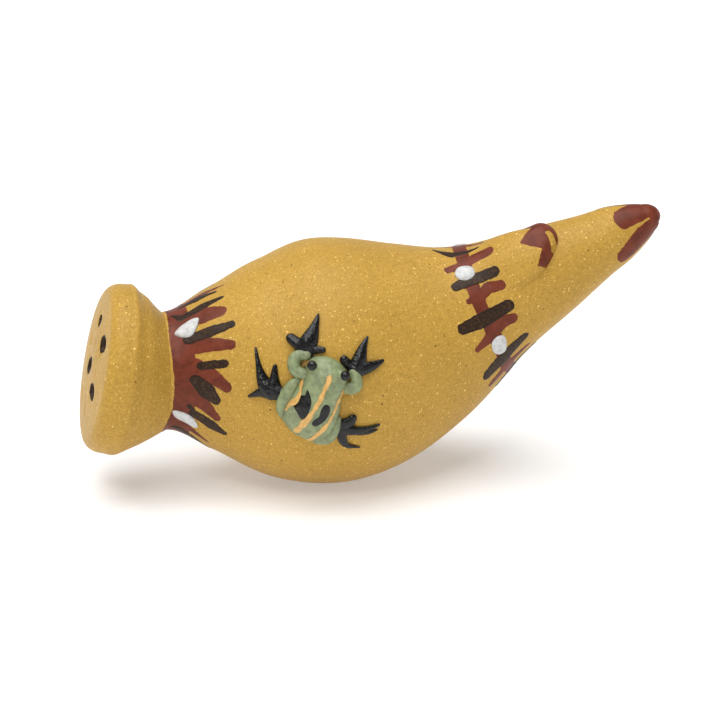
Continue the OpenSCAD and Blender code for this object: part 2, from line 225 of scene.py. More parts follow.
def hand_shape(s, angle):
    """What the hands left, as a change of the radius.

    Slow waves are sums of sines of the place and the angle, with lumps added near the foot. The flank
    puts a straight cone in place of the foot's curve, and adds a soft swelling where the neck begins.
    The mouth is a soft swelling before the beak's tip.
    """
    a = np.radians(angle)
    waves = np.sin(0.21 * s + 1.7 * np.cos(a) + 0.4) + np.sin(0.13 * s - 2 * np.sin(a) + 2)
    waves = waves + 0.7 * np.sin(0.33 * s + 1.5 * np.sin(2 * a + 0.6))
    near_foot = np.clip((-s - 38) / 15, 0, 1)
    lumps = np.sin(3 * a + 0.8) + 0.8 * np.sin(2 * a - 0.9) + 0.5 * np.sin(5 * a + 0.12 * s)
    flare_at = DISC_AT + RIM_L
    cone = np.interp(s, [flare_at, -NECK_AT], [FOOT_R, NECK_R]) - body_radius(s)
    on_cone = (s > flare_at) & (s < -NECK_AT)
    swelling = 0.35 * (1 + np.cos(a)) * np.exp(-(((s + 45) / 2.8) ** 2))
    flank = np.where(on_cone, cone, 0) * smooth_step((s - DISC_AT - RIM_L) / 4) + swelling
    mouth = 0.7 * np.exp(-(((s - 88.5) / 5) ** 2))
    return -0.1 + 0.035 * waves + near_foot * (0.12 * lumps + 0.05) + flank + mouth


def on_clay(s, angle, lift=0.0):
    """Points of the clay's surface, raised by lift."""
    return around(s, angle, body_radius(s) + hand_shape(s, angle) + lift)


def wall_at(s):
    """Thickness of the wall, which grows evenly from the belly to the foot."""
    return WALL + (FOOT_WALL - WALL) * np.clip((BELLY_R / 2 - s) / (BELLY_R / 2 + NECK_AT), 0, 1)


def smooth_step(t):
    """Rises from 0 to 1 with no corner at either end."""
    t = np.clip(t, 0, 1)
    return t * t * (3 - 2 * t)


def curve_through(points, count, closed=False):
    """Points spread along a smooth curve through a few: a cubic with slopes from the neighbours."""
    p = np.asarray(points, float)
    if closed:
        p = np.concatenate([p[-1:], p, p[:2]])
    else:
        p = np.concatenate([2 * p[:1] - p[1:2], p, 2 * p[-1:] - p[-2:-1]])
    spans = len(p) - 3
    u = np.linspace(0, spans, count, endpoint=not closed)
    i = np.clip(u.astype(int), 0, spans - 1)
    t = (u - i)[:, None]
    a, b, c, d = p[i], p[i + 1], p[i + 2], p[i + 3]
    return b + 0.5 * t * (c - a + t * (2 * a - 5 * b + 4 * c - d + t * (3 * (b - c) + d - a)))


# ---------------------------------------------------------------- meshes


class Form:
    """Closed surfaces gathered into one mesh, each a grid of points over two parameters."""

    def __init__(self):
        self.points = []
        self.faces = []
        self.values = {}
        self.count = 0

    def grid(self, points, loop=False, **values):
        """Adds a grid whose columns close around. Its rows close too if loop, else a pole closes each end."""
        rows, columns = points.shape[:2]
        number = np.arange(rows * columns).reshape(rows, columns)
        last = rows if loop else rows - 1
        a = number[:last]
        b = np.roll(number, -1, 0)[:last]
        quads = np.stack([a, b, np.roll(b, -1, 1), np.roll(a, -1, 1)], -1).reshape(-1, 4)
        flat = points.reshape(-1, 3)
        triangles = np.zeros((0, 3), int)
        if not loop:
            flat = np.concatenate([flat, points[0].mean(0)[None], points[-1].mean(0)[None]])
            first = np.stack([number[0] * 0 + rows * columns, number[0], np.roll(number[0], -1)], -1)
            end = np.stack([number[-1] * 0 + rows * columns + 1, np.roll(number[-1], -1), number[-1]], -1)
            triangles = np.concatenate([first, end])
        cut = np.concatenate([quads[:, [0, 1, 2]], quads[:, [0, 2, 3]], triangles])
        p, q, r = flat[cut[:, 0]], flat[cut[:, 1]], flat[cut[:, 2]]
        if np.einsum("ij,ij->i", p, np.cross(q, r)).sum() < 0:
            quads = quads[:, ::-1]
            triangles = triangles[:, ::-1]
        self.faces += [quads + self.count, triangles + self.count]
        self.points.append(flat)
        for name, value in values.items():
            full = np.broadcast_to(value, (rows, columns)).reshape(-1)
            if not loop:
                full = np.concatenate([full, [points_mean(value, 0), points_mean(value, -1)]])
            self.values.setdefault(name, []).append(full)
        self.count += len(flat)

    def make(self, name):
        """Makes the mesh object, smooth shaded, with its values as attributes."""
        mesh = bpy.data.meshes.new(name)
        points = np.concatenate(self.points) * MM
        corners = np.concatenate([f.reshape(-1) for f in self.faces])
        sizes = np.concatenate([np.full(len(f), f.shape[1]) for f in self.faces])
        mesh.vertices.add(len(points))
        mesh.vertices.foreach_set("co", points.astype(np.float32).reshape(-1))
        mesh.loops.add(len(corners))
        mesh.loops.foreach_set("vertex_index", corners.astype(np.int32))
        mesh.polygons.add(len(sizes))
        mesh.polygons.foreach_set("loop_start", (np.cumsum(sizes) - sizes).astype(np.int32))
        mesh.polygons.foreach_set("loop_total", sizes.astype(np.int32))
        mesh.update(calc_edges=True)
        mesh.shade_smooth()
        mesh.set_sharp_from_angle(angle=HARD_EDGE)
        for key, value in self.values.items():
            made = mesh.attributes.new(key, "FLOAT", "POINT")
            made.data.foreach_set("value", np.concatenate(value).astype(np.float32))
        made = bpy.data.objects.new(name, mesh)
        bpy.context.scene.collection.objects.link(made)
        return made


def points_mean(value, row):
    """The middle value of a row, for its pole."""
    value = np.asarray(value, float)
    return value[row].mean() if value.ndim == 2 else float(value.mean())


def finish_piece(piece, slot, *nodes):
    """Gives a piece its finish and slot, sets it to ride on the body and stand for its CAD nodes."""
    material = finish_of(slot)
    piece.data.materials.clear()
    piece.data.materials.append(material)
    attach(piece, "root")
    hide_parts(*nodes)


def finish_form(form, slot, node):
    """Makes a form's piece, named after its node, and finishes it."""
    finish_piece(form.make(node + "_form"), slot, node)


def carved(piece, cutter, operation="DIFFERENCE"):
    """Cuts a piece with another and removes the cutter."""
    cut = piece.modifiers.new("cut", "BOOLEAN")
    cut.operation = operation
    cut.solver = "EXACT"
    cut.object = cutter
    bpy.context.view_layer.update()
    graph = bpy.context.evaluated_depsgraph_get()
    mesh = bpy.data.meshes.new_from_object(piece.evaluated_get(graph))
    piece.modifiers.clear()
    old = piece.data
    piece.data = mesh
    mesh.set_sharp_from_angle(angle=HARD_EDGE)
    bpy.data.meshes.remove(old)
    bpy.data.objects.remove(cutter)
    return piece


def cushion(form, middle, rim, spot_place, top, sink, rows, **values):
    """Adds a closed cushion: rings shrink from the rim to the middle, raised by top above and sunk below."""
    t = np.sin(np.linspace(0, np.pi / 2, rows))[1:]
    shares = np.concatenate([t[::4], t[::-1]])
    lower = np.arange(len(shares)) < len(t[::4])
    x = middle[0] + shares[:, None] * (rim[:, 0] - middle[0])
    y = middle[1] + shares[:, None] * (rim[:, 1] - middle[1])
    raised = top(x, y, shares[:, None] + 0 * x)
    lift = np.where(lower[:, None], -sink, raised)
    found = {key: value(x, y) for key, value in values.items()}
    form.grid(spot_place(x, y, lift), **found)


def strand(form, path, radii, spot_place, flat, sides, rows, lumps=0.0):
    """Adds a closed strand of clay: rings of the given radii along a smooth path, rounded at both ends."""
    line = curve_through(np.column_stack([path, radii]), rows)
    centre = spot_place(line[:, 0], line[:, 1], line[:, 2])
    above = spot_place(line[:, 0], line[:, 1], line[:, 2] + 1)
    along = unit(np.gradient(centre, axis=0))
    across = unit(np.cross(along, above - centre))
    up = np.cross(across, along)
    r = line[:, 3] * (1 + lumps * np.sin(np.arange(rows) * 1.9 + 3 * line[0, 0]))
    turn = np.radians([80, 62, 42, 20])
    start = centre[0] - along[0] * (r[0] * np.sin(turn))[:, None]
    end = centre[-1] + along[-1] * (r[-1] * np.sin(turn[::-1]))[:, None]
    centre = np.concatenate([start, centre, end])
    r = np.concatenate([r[0] * np.cos(turn), r, r[-1] * np.cos(turn[::-1])])
    across = np.concatenate([across[:1]] * 4 + [across] + [across[-1:]] * 4)
    up = np.concatenate([up[:1]] * 4 + [up] + [up[-1:]] * 4)
    a = np.linspace(0, 2 * np.pi, sides, endpoint=False)
    ring = np.cos(a)[:, None] * across[:, None] + flat * np.sin(a)[:, None] * up[:, None]
    form.grid(centre[:, None] + r[:, None, None] * ring)


# ---------------------------------------------------------------- slip


# Brush strokes as places (s, angle) along each, with its widths there, for red slip and then dark
NECK_RED = [
    ([(-36, 350), (-30, 355), (-24.5, 0)], [3.5, 2.4, 0.6]),
    ([(-36, 20), (-31, 25), (-26.8, 28)], [5, 5.4, 3.2]),
    ([(-36, 49), (-31.5, 51.5), (-25.2, 55)], [6, 4, 2.2]),
    ([(-36, 66), (-31, 74), (-26.8, 83)], [6, 4.2, 2.6]),
    ([(-36, 92), (-32, 99), (-28.9, 107.5)], [6, 3.8, 2]),
    ([(-37, 128), (-33, 137), (-29.9, 142)], [3, 2, 0.8]),
    ([(-37, 168), (-31, 172), (-26, 177)], [5, 4, 2.2]),
    ([(-37, 202), (-32, 200), (-27, 203)], [5, 3.6, 2]),
    ([(-37, 226), (-31, 229), (-25.5, 228)], [5.5, 4, 2.4]),
    ([(-37, 258), (-32, 255), (-27, 259)], [5, 3.4, 1.8]),
    ([(-37, 285), (-31, 288), (-26, 292)], [5, 4.2, 2.2]),
    ([(-37, 316), (-31, 319), (-26, 324)], [5, 3.8, 1.8]),
]
NECK_DARK = [
    ([(-35, 355), (-31, 0), (-26.8, 4)], [2, 2.6, 1]),
    ([(-38, 7), (-36, 16), (-31, 15), (-25.6, 15)], [0.8, 2.6, 3, 0.9]),
    ([(-34.8, 43), (-30, 42), (-24.6, 41)], [3.4, 3.2, 1.8]),
    ([(-32.4, 67.5), (-27.2, 67)], [2.6, 2.2]),
    ([(-34, 79), (-31.5, 87), (-29.4, 93)], [3, 4.4, 2.6]),
    ([(-35.4, 104), (-34.4, 107)], [1.4, 1]),
    ([(-34, 111), (-30, 116), (-26.8, 120)], [3, 3.4, 1.6]),
    ([(-38.2, 140), (-34, 150), (-28.7, 161)], [2.4, 3, 1]),
    ([(-34, 187), (-30, 190), (-26.5, 189)], [2.6, 3.4, 1.8]),
    ([(-34, 214), (-30, 215), (-27, 213)], [2.4, 3, 1.6]),
    ([(-34.5, 242), (-29, 243), (-25.6, 246)], [3, 3.2, 1.6]),
    ([(-34, 271), (-30.5, 273), (-27.5, 272)], [2.2, 3, 2]),
    ([(-35, 303), (-30, 302), (-26, 306)], [3, 3.2, 1.4]),
    ([(-34, 333), (-30, 336), (-26, 338)], [2.4, 3, 1.2]),
]
SHOULDER_RED = [
    ([(44.6, 340), (50, 352), (56, 5)], [1.4, 2.6, 1.4]),
    ([(45.6, 31), (50, 29), (53, 26), (57, 27)], [2, 2.8, 3.2, 3]),
    ([(47, 64), (50, 64), (53, 60), (56, 63)], [1.4, 3, 3.2, 2.8]),
    ([(43, 100), (48, 99), (52, 94), (54.5, 97)], [1.4, 3, 3.6, 3]),
    ([(41.5, 139), (48, 140), (54, 141.5)], [2, 3, 1.6]),
    ([(44, 172), (49, 170), (55, 173)], [2, 3.2, 2.4]),
    ([(43.5, 206), (49, 208), (55, 205)], [1.6, 3.2, 2]),
    ([(44, 243), (49, 241), (55.5, 244)], [2, 3.4, 2.4]),
    ([(44.5, 279), (50, 281), (56, 278)], [1.8, 3, 2]),
    ([(44.5, 314), (50, 312), (56, 315)], [2, 3.4, 2.2]),
]
SHOULDER_DARK = [
    ([(43.4, 358), (48, 12), (54.6, 13)], [0.8, 2.8, 1]),
    ([(45.6, 48.5), (50, 47), (56, 49)], [2.4, 3.4, 3.2]),
    ([(42, 80), (48, 83), (55, 84)], [2.6, 4.2, 3.8]),
    ([(42, 125), (48, 126), (54.4, 124)], [3, 4.4, 3]),
    ([(42.5, 157), (48, 156), (55, 158)], [2.4, 3.6, 2.6]),
    ([(43, 190), (48, 188), (55, 189)], [2.6, 3.8, 2.4]),
    ([(43.5, 225), (49, 224), (55.5, 227)], [2.2, 3.6, 3]),
    ([(44, 262), (49, 261), (55, 260)], [2.6, 3.8, 2.2]),
    ([(44, 297), (50, 298), (56, 296)], [2.2, 3.4, 2.6]),
    ([(44.5, 331), (50, 330), (56, 333)], [2, 3, 1.8]),
]
TIP_RED = [
    ([(99, 350), (93, 342), (86.5, 336)], [5, 3.6, 1.4]),
    ([(99, 32), (95, 37), (91.2, 47)], [7, 6.6, 4.6]),
    ([(99, 118), (94, 114), (86.5, 121)], [7, 5.6, 3.0]),
    ([(99, 175), (94, 178), (89, 184)], [5, 4, 2.4]),
    ([(99, 235), (94, 240), (88, 243)], [5, 4.2, 2.6]),
    ([(99, 290), (94, 294), (90, 292)], [4, 3.6, 2.4]),
]

# Edges of the neck's band and the middle of the shoulder's, as angles and places along the body
NECK_LEFT = np.array([
    (0, -39.2), (40, -39.8), (85, -39.1), (110, -39.5), (140, -41.2), (200, -40.4), (280, -39.6)])
NECK_RIGHT = np.array([
    (0, -34.2), (35, -33.6), (60, -33.8), (100, -34), (150, -34.6), (220, -33.8), (300, -34.4)])
SHOULDER_LINE = np.array([
    (0, 50.1), (21, 50.2), (56, 49.5), (80, 48.8), (106, 48.4), (135, 47), (200, 47.4), (280, 49)])

# Width of the shoulder's band
BAND_W = 3.5


def turn_between(angle, other):
    """The turn from one angle to another, from -180 to 180 degrees."""
    return (angle - other + 180) % 360 - 180


def stroke_depth(s, angle, places, widths):
    """Depth inside a brush stroke: half its width at the nearest place of its path, less the way there."""
    p = np.array(places, float)
    middle = p[len(p) // 2]
    per_degree = degree_length(middle[0])
    px = p[:, 0] - middle[0]
    py = turn_between(p[:, 1], middle[1]) * per_degree
    x = s - middle[0]
    y = turn_between(angle, middle[1]) * per_degree
    best = np.full(np.shape(x), BARE)
    for i in range(len(p) - 1):
        dx, dy = px[i + 1] - px[i], py[i + 1] - py[i]
        t = np.clip(((x - px[i]) * dx + (y - py[i]) * dy) / (dx * dx + dy * dy), 0, 1)
        away = np.hypot(x - px[i] - t * dx, y - py[i] - t * dy)
        half = (widths[i] + t * (widths[i + 1] - widths[i])) / 2
        best = np.maximum(best, half - away)
    return best


def deepest(s, angle, strokes):
    """The greatest depth inside any of several strokes."""
    best = np.full(np.shape(s), BARE)
    for places, widths in strokes:
        best = np.maximum(best, stroke_depth(s, angle, places, widths))
    return best


def between(table, angle):
    """A value from a table by angle, going round."""
    return np.interp(angle, table[:, 0], table[:, 1], period=360)


def red_depth(s, angle):
    """Depth inside the red slip: the neck's and shoulder's bands, their strokes, and the tip with petals."""
    neck = np.minimum(s - between(NECK_LEFT, angle), between(NECK_RIGHT, angle) - s)
    band = BAND_W / 2 - np.abs(s - between(SHOULDER_LINE, angle))
    both = np.maximum(neck, band)
    both = np.maximum(both, s - CAP_FROM)
    return np.maximum(both, deepest(s, angle, NECK_RED + SHOULDER_RED + TIP_RED))


def dark_depth(s, angle):
    """Depth inside the dark strokes of the neck and shoulder."""
    return deepest(s, angle, NECK_DARK + SHOULDER_DARK)


def slip_lift(red, dark):
    """How far the slip stands above the clay: it rises over the first part of its edge and then is level."""
    return RED_LIFT * smooth_step(red / 0.4 + 0.3) + DARK_LIFT * smooth_step(dark / 0.5 + 0.3)


# ---------------------------------------------------------------- settings


def swatch(name, description, default):
    """A setting that is a colour."""
    return bpy.props.FloatVectorProperty(
        name=name, description=description, subtype="COLOR", default=default, min=0, max=1)


def measure(name, description, default, low, high):
    """A setting that is a length."""
    return bpy.props.FloatProperty(
        name=name, description=description, unit="LENGTH", default=default, min=low, max=high)


class ClaySettings(bpy.types.PropertyGroup):
    """The clay's colours and how it is speckled."""

    colour: swatch("Clay", "Colour of the fired clay", (0.46, 0.268, 0.046))
    fleck: swatch("Flecks", "Colour of the bright flecks in the clay", (0.86, 0.56, 0.16))
    pit: swatch("Pits", "Colour of the dark pits in the clay", (0.10, 0.045, 0.012))
    fleck_share: bpy.props.FloatProperty(
        name="Fleck share", description="Share of the clay's cells that hold a fleck", subtype="FACTOR",
        default=0.5, min=0, max=1)
    sheen: bpy.props.FloatProperty(
        name="Roughness", description="Roughness of the burnished clay", subtype="FACTOR",
        default=0.46, min=0.1, max=1)


class SlipSettings(bpy.types.PropertyGroup):
    """The painted slip's colours."""

    red: swatch("Red", "Colour of the red slip", (0.128, 0.027, 0.013))
    # The dark slip's colour also paints the shade inside the finger holes
    dark: swatch("Dark", "Colour of the dark slip", (0.026, 0.014, 0.008))
    white: swatch("White", "Colour of the white dots", (0.56, 0.56, 0.55))
    dot_height: measure("Dot height", "Height of a white dot", 0.9 * MM, 0.2 * MM, 1.4 * MM)


class FrogSettings(bpy.types.PropertyGroup):
    """The frog's colours and the size of its markings."""

    green: swatch("Green", "Colour of the frog's back", (0.205, 0.245, 0.118))
    black: swatch("Black", "Colour of the feet, the eyes and the spots", (0.003, 0.003, 0.003))
    yellow: swatch("Yellow", "Colour of the stripes", (0.62, 0.36, 0.10))
    eye: measure("Eye", "Diameter of an eye", 2.5 * MM, 1.5 * MM, 3.2 * MM)
    stripe: measure("Stripe", "Width of a yellow stripe", 1.3 * MM, 0.6 * MM, 2 * MM)


class StageSettings(bpy.types.PropertyGroup):
    """The floor, the light and the camera."""

    floor: swatch("Floor", "Colour of the floor", (0.80, 0.80, 0.80))
    sky: bpy.props.FloatProperty(
        name="Sky", description="Strength of the even light from all around", default=0.03, min=0, max=3)
    softbox: bpy.props.FloatProperty(
        name="Softbox", description="Power of the large light overhead", unit="POWER",
        default=27.5, min=0, max=1000)
    distance: measure("Distance", "Distance of the camera", 0.534, 0.2, 2)
    azimuth: bpy.props.FloatProperty(
        name="Azimuth", description="Turn of the camera around the part", subtype="ANGLE",
        default=np.radians(-13), min=-np.pi, max=np.pi)
    elevation: bpy.props.FloatProperty(
        name="Elevation", description="Rise of the camera above level", subtype="ANGLE",
        default=np.radians(20), min=0, max=np.pi / 2)


# ---------------------------------------------------------------- finishes


class Flow:
    """A value or colour flowing through a material. Arithmetic on it adds Math nodes."""

    def __init__(self, tree, socket=None):
        self.tree = tree
        self.socket = socket

    def node(self, kind, settings=None, inputs=None, output=0):
        """Adds any node: its settings first, then the values or links of its sockets."""
        made = self.tree.nodes.new(kind)
        for name, value in (settings or {}).items():
            setattr(made, name, value)
        for name, value in (inputs or {}).items():
            if isinstance(value, Flow):
                self.tree.links.new(value.socket, made.inputs[name])
            else:
                made.inputs[name].default_value = value
        return Flow(self.tree, made.outputs[output] if made.outputs else None)

    def math(self, operation, first, second):
        """A Math node over two values or flows."""
        return self.node("ShaderNodeMath", {"operation": operation}, {0: first, 1: second})

    def __add__(self, other):
        return self.math("ADD", self, other)

    def __sub__(self, other):
        return self.math("SUBTRACT", self, other)

    def __rsub__(self, other):
        return self.math("SUBTRACT", other, self)

    def __mul__(self, other):
        return self.math("MULTIPLY", self, other)

    def __gt__(self, other):
        return self.math("GREATER_THAN", self, other)

    __rmul__ = __mul__

    def rising(self, low, high):
        """0 below low and 1 above high, with a smooth rise between."""
        sockets = {"Value": self, "From Min": low, "From Max": high}
        return self.node("ShaderNodeMapRange", {"interpolation_type": "SMOOTHSTEP"}, sockets)

    def mix(self, first, second):
        """First where this is 0 and second where it is 1, both colours."""
        return self.node("ShaderNodeMix", {"data_type": "RGBA"}, {0: self, 6: first, 7: second}, 2)


class Finish:
    """A material being made: places in millimetres on the piece, patterns on them, and the surface."""

    def __init__(self, name):
        self.material = bpy.data.materials.new(name)
        self.material.use_nodes = True
        self.tree = self.material.node_tree
        self.tree.nodes.clear()
        self.flow = Flow(self.tree)
        spot = self.flow.node("ShaderNodeTexCoord", output="Object")
        thousand = (1 / MM, 1 / MM, 1 / MM)
        self.place = self.flow.node("ShaderNodeMapping", None, {"Vector": spot, "Scale": thousand})

    def noise(self, scale, detail=2.0, rough=0.5):
        """A noise over the piece, from 0 to 1, with so many waves to a millimetre."""
        sockets = {"Vector": self.place, "Scale": scale, "Detail": detail, "Roughness": rough}
        return self.flow.node("ShaderNodeTexNoise", None, sockets)

    def cells(self, scale, place=None):
        """Distance from the middle of the nearest cell, and a number drawn for that cell."""
        sockets = {"Vector": place or self.place, "Scale": scale, "Randomness": 1.0}
        away = self.flow.node("ShaderNodeTexVoronoi", None, sockets)
        drawn = Flow(self.tree, away.socket.node.outputs["Color"])
        number = self.flow.node("ShaderNodeSeparateColor", None, {0: drawn})
        return away, number

    def specks(self, scale, low, high, over, place=None):
        """1 on small round specks, in the cells that draw more than over, and 0 between them."""
        away, number = self.cells(scale, place)
        return (1 - away.rising(low, high)) * (number > over)

    def grains(self, scale, size, soft, over, place):
        """1 on grains, in the cells that draw more than over: each as wide as size times what it drew."""
        away, number = self.cells(scale, place)
        return (1 - (away - size * number).rising(-soft, 0.03)) * (number > over)

    def shaken(self, scale, amount):
        """Places moved about by a fine noise, for ragged edges."""
        colour = Flow(self.tree, self.noise(scale, 2.0).socket.node.outputs["Color"])
        moved = self.flow.node("ShaderNodeVectorMath", {"operation": "SCALE"}, {0: colour, "Scale": amount})
        return self.flow.node("ShaderNodeVectorMath", {"operation": "ADD"}, {0: self.place, 1: moved})

    def depth(self, name):
        """The piece's own value of how deep inside the slip a point is, with a brush's uneven edge."""
        value = self.flow.node("ShaderNodeAttribute", {"attribute_name": name}, None, "Fac")
        ragged = (self.noise(0.8, 3.0) - 0.5) * 0.55 + (self.noise(4.0, 2.0) - 0.5) * 0.3
        return value + ragged

    def surface(self, colour, rough, height, bump, **fixed):
        """Ends the material: colour, roughness and height vary over the surface, the rest is fixed."""
        normal = self.flow.node(
            "ShaderNodeBump", None, {"Height": height, "Strength": bump, "Distance": 0.1 * MM})
        sockets = {"Base Color": colour, "Roughness": rough, "Normal": normal}
        sockets.update({key.replace("_", " "): value for key, value in fixed.items()})
        shader = self.flow.node("ShaderNodeBsdfPrincipled", None, sockets)
        self.flow.node("ShaderNodeOutputMaterial", None, {"Surface": shader})
        return self.material


def rgba(colour):
    """The colour with nothing showing through."""
    return (*colour, 1.0)


def shade(colour, share):
    """The colour made lighter or darker."""
    return tuple(min(1.0, share * c) for c in colour) + (1.0,)


# Layers of flecks: cells to a millimetre, size in a cell, share of cells and strength
FLECKS = ((0.45, 0.13, 0.5, 0.95), (0.9, 0.2, 0.55, 0.8), (1.8, 0.27, 0.6, 0.6))
# Colours of the specks in the red slip, of the dark slip where it is worn, and of the glints in it
RED_SPECK = (0.35, 0.17, 0.06, 1)
DARK_WORN = (0.13, 0.06, 0.02, 1)
DARK_GLINT = (0.42, 0.24, 0.08, 1)
# How much the clay and the black glaze mirror
CLAY_SPECULAR = 0.16
BLACK_SPECULAR = 0.34


def clay_colour(finish, clay):
    """Clay with slow changes of tone, fine grain, bright flecks and dark pits: its colour and height."""
    tone = finish.noise(0.07, 3.0).rising(0.3, 0.7)
    grain = finish.noise(2.6, 4.0, 0.65)
    mottle = finish.noise(1.0, 4.0, 0.65).rising(0.3, 0.7)
    coarse = finish.noise(1.5, 3.0, 0.6).rising(0.5, 0.68)
    colour = tone.mix(shade(clay.colour, 0.94), shade(clay.colour, 1.06))
    colour = (grain.rising(0.35, 0.7) * 0.75).mix(colour, shade(clay.colour, 0.66))
    colour = (mottle * 0.45).mix(colour, shade(clay.colour, 1.22))
    colour = (coarse * 0.5).mix(colour, shade(clay.colour, 0.6))
    spot = finish.shaken(2.2, 0.7)
    height = grain * 0.6
    for scale, size, share, strength in FLECKS:
        fleck = finish.grains(scale, size, 0.04, 1 - share * clay.fleck_share * 2, spot) * strength
        colour = fleck.mix(colour, rgba(clay.fleck))
        height = height + fleck * 0.2
    pit = finish.grains(0.33, 0.09, 0.02, 0.4, spot)
    dust = finish.grains(1.1, 0.17, 0.03, 0.55, spot)
    colour = (pit * 0.85).mix(colour, rgba(clay.pit))
    colour = (dust * 0.5).mix(colour, shade(clay.pit, 1.6))
    return colour, height - pit * 1.5 - dust * 0.6


def clay_finish():
    """Speckled clay with red and dark slip where the piece's own depths say; inside the finger holes the dark
    slip is painted shade.
    """
    scene = bpy.context.scene
    slip = scene.ocarina_slip
    finish = Finish("speckled_clay")
    colour, height = clay_colour(finish, scene.ocarina_clay)
    red = finish.depth("red")
    # On the foot's disc and in its finger holes this depth paints shade inside the holes
    dark = finish.depth("dark")
    on_red = red.rising(-0.04, 0.1)
    on_dark = dark.rising(-0.04, 0.08)
    wash = finish.noise(0.35, 3.0).rising(0.3, 0.7)
    streak = finish.noise(1.7, 4.0, 0.6)
    red_tone = wash.mix(shade(slip.red, 0.8), shade(slip.red, 1.25))
    red_tone = (streak.rising(0.45, 0.75) * 0.3).mix(red_tone, shade(slip.red, 1.9))
    speck = finish.specks(1.0, 0.05, 0.09, 0.75)
    red_tone = (speck * 0.5).mix(red_tone, RED_SPECK)
    colour = on_red.mix(colour, red_tone)
    worn = finish.noise(1.5, 5.0, 0.7).rising(0.5, 0.62) * dark.rising(0.25, 0.7)
    dark_tone = finish.noise(0.8, 3.0).mix(shade(slip.dark, 0.5), shade(slip.dark, 1.4))
    dark_tone = (worn * 0.4).mix(dark_tone, DARK_WORN)
    glint = finish.specks(1.5, 0.06, 0.12, 0.8, finish.shaken(2.2, 0.5))
    dark_tone = (glint * 0.6).mix(dark_tone, DARK_GLINT)
    colour = on_dark.mix(colour, dark_tone)
    covered = on_red.math("MAXIMUM", on_red, on_dark)
    height = height * (1 - covered * 0.75) + covered * (streak * 0.3 + 0.4)
    sheen = scene.ocarina_clay.sheen
    rough = finish.noise(1.2, 2.0) * 0.12 + (sheen - 0.06) - covered * 0.06
    return finish.surface(colour, rough, height, 0.45, Specular_IOR_Level=CLAY_SPECULAR)


def white_finish():
    """White slip: a slightly chalky glaze, greyed in patches as painted shade of its hollows."""
    slip = bpy.context.scene.ocarina_slip
    finish = Finish("white_slip")
    cloud = finish.noise(0.9, 4.0, 0.6)
    # Grey mixed in by a noise: painted shade standing in for the dots' hollows
    colour = (cloud.rising(0.42, 0.7) * 0.6).mix(rgba(slip.white), shade(slip.white, 0.62))
    return finish.surface(colour, cloud * 0.2 + 0.3, cloud * 2 + finish.noise(3.0, 3.0) * 0.4, 0.9)


def green_finish():
    """Sage green clay, darker in its hollows as painted shade, and paler on its raised grain."""
    frog = bpy.context.scene.ocarina_frog
    finish = Finish("frog_green")
    tone = finish.noise(0.55, 4.0, 0.6)
    grain = finish.noise(1.8, 4.0, 0.65)
    # Darker where the tone noise, which also lowers the surface, is low: painted shade in the hollows
    colour = tone.rising(0.35, 0.65).mix(shade(frog.green, 0.74), shade(frog.green, 1.16))
    colour = (grain.rising(0.5, 0.78) * 0.4).mix(colour, shade(frog.green, 1.35))
    speck = finish.specks(0.8, 0.04, 0.09, 0.66, finish.shaken(2.0, 0.6))
    colour = (speck * 0.5).mix(colour, shade(frog.green, 0.5))
    return finish.surface(colour, grain * 0.15 + 0.3, grain * 1.4 + tone * 2.0 - speck * 0.8, 1.0)


def black_finish():
    """Wet-looking black glaze that lies in small ridges."""
    frog = bpy.context.scene.ocarina_frog
    finish = Finish("frog_black")
    ridge = finish.noise(0.9, 3.0, 0.55)
    ripple = finish.noise(2.4, 2.0)
    colour = (ripple.rising(0.4, 0.8) * 0.5).mix(rgba(frog.black), shade(frog.black, 2.5))
    height = ridge * 3.0 + ripple * 0.5
    return finish.surface(colour, ripple * 0.08 + 0.06, height, 1.0, Specular_IOR_Level=BLACK_SPECULAR)


def yellow_finish():
    """Ochre yellow slip, uneven as from a thin brush."""
    frog = bpy.context.scene.ocarina_frog
    finish = Finish("frog_yellow")
    tone = finish.noise(1.1, 4.0, 0.6)
    grain = finish.noise(4.0, 3.0)
    colour = tone.rising(0.3, 0.7).mix(shade(frog.yellow, 0.78), shade(frog.yellow, 1.15))
    return finish.surface(colour, grain * 0.15 + 0.35, tone + grain * 0.4, 0.5)


FINISHES = {}


def finish_of(name):
    """A finish by name, made when it is first asked for."""
    makers = {
        "clay": clay_finish, "white_slip": white_finish, "frog_green": green_finish,
        "frog_black": black_finish, "frog_yellow": yellow_finish,
    }
    if name not in FINISHES:
        FINISHES[name] = makers[name]()
    return FINISHES[name]


# ---------------------------------------------------------------- clay pieces


def shell(form, outer, inner_rows):
    """Adds a hollow length of the body: rows of its skin out along it, and back inside its wall."""
    s, a = np.meshgrid(outer, COLUMN_ANGLES, indexing="ij")
    red, dark = red_depth(s, a), dark_depth(s, a)
    skin = on_clay(s, a, slip_lift(red, dark))
    back = np.linspace(outer[-1], outer[0], inner_rows)
    t, b = np.meshgrid(back, COLUMN_ANGLES, indexing="ij")
    inside = around(t, b, body_radius(t) - wall_at(t))
    points = np.concatenate([skin, inside])
    points[..., 2] = np.maximum(points[..., 2], 0)
    bare = np.full(t.shape, BARE)
    form.grid(points, True, red=np.concatenate([red, bare]), dark=np.concatenate([dark, bare]))


def two_rates(start, change, end, first, second):
    """Places from start to end, at one spacing up to a change and another past it."""
    return np.concatenate([np.linspace(start, change, first)[:-1], np.linspace(change, end, second)])


def windway_place(x, y, z):
    """Points beside the windway: x along it from its exit to the mouth, y across, and z out of the clay."""
    a = around(SHOULDER_AT, VOICE_ANGLE, SHOULDER_R - WALL + 1)
    b = around(TIP_AT, VOICE_ANGLE, MOUTH_DROP)
    _, _, up, side = place(TIP_AT)
    turn = np.radians(VOICE_ANGLE)
    out = np.cos(turn) * up + np.sin(turn) * side
    along = unit(b - a)
    across = unit(np.cross(out, along))
    return a + np.stack([x, y, z], -1) @ np.stack([along, across, np.cross(along, across)])


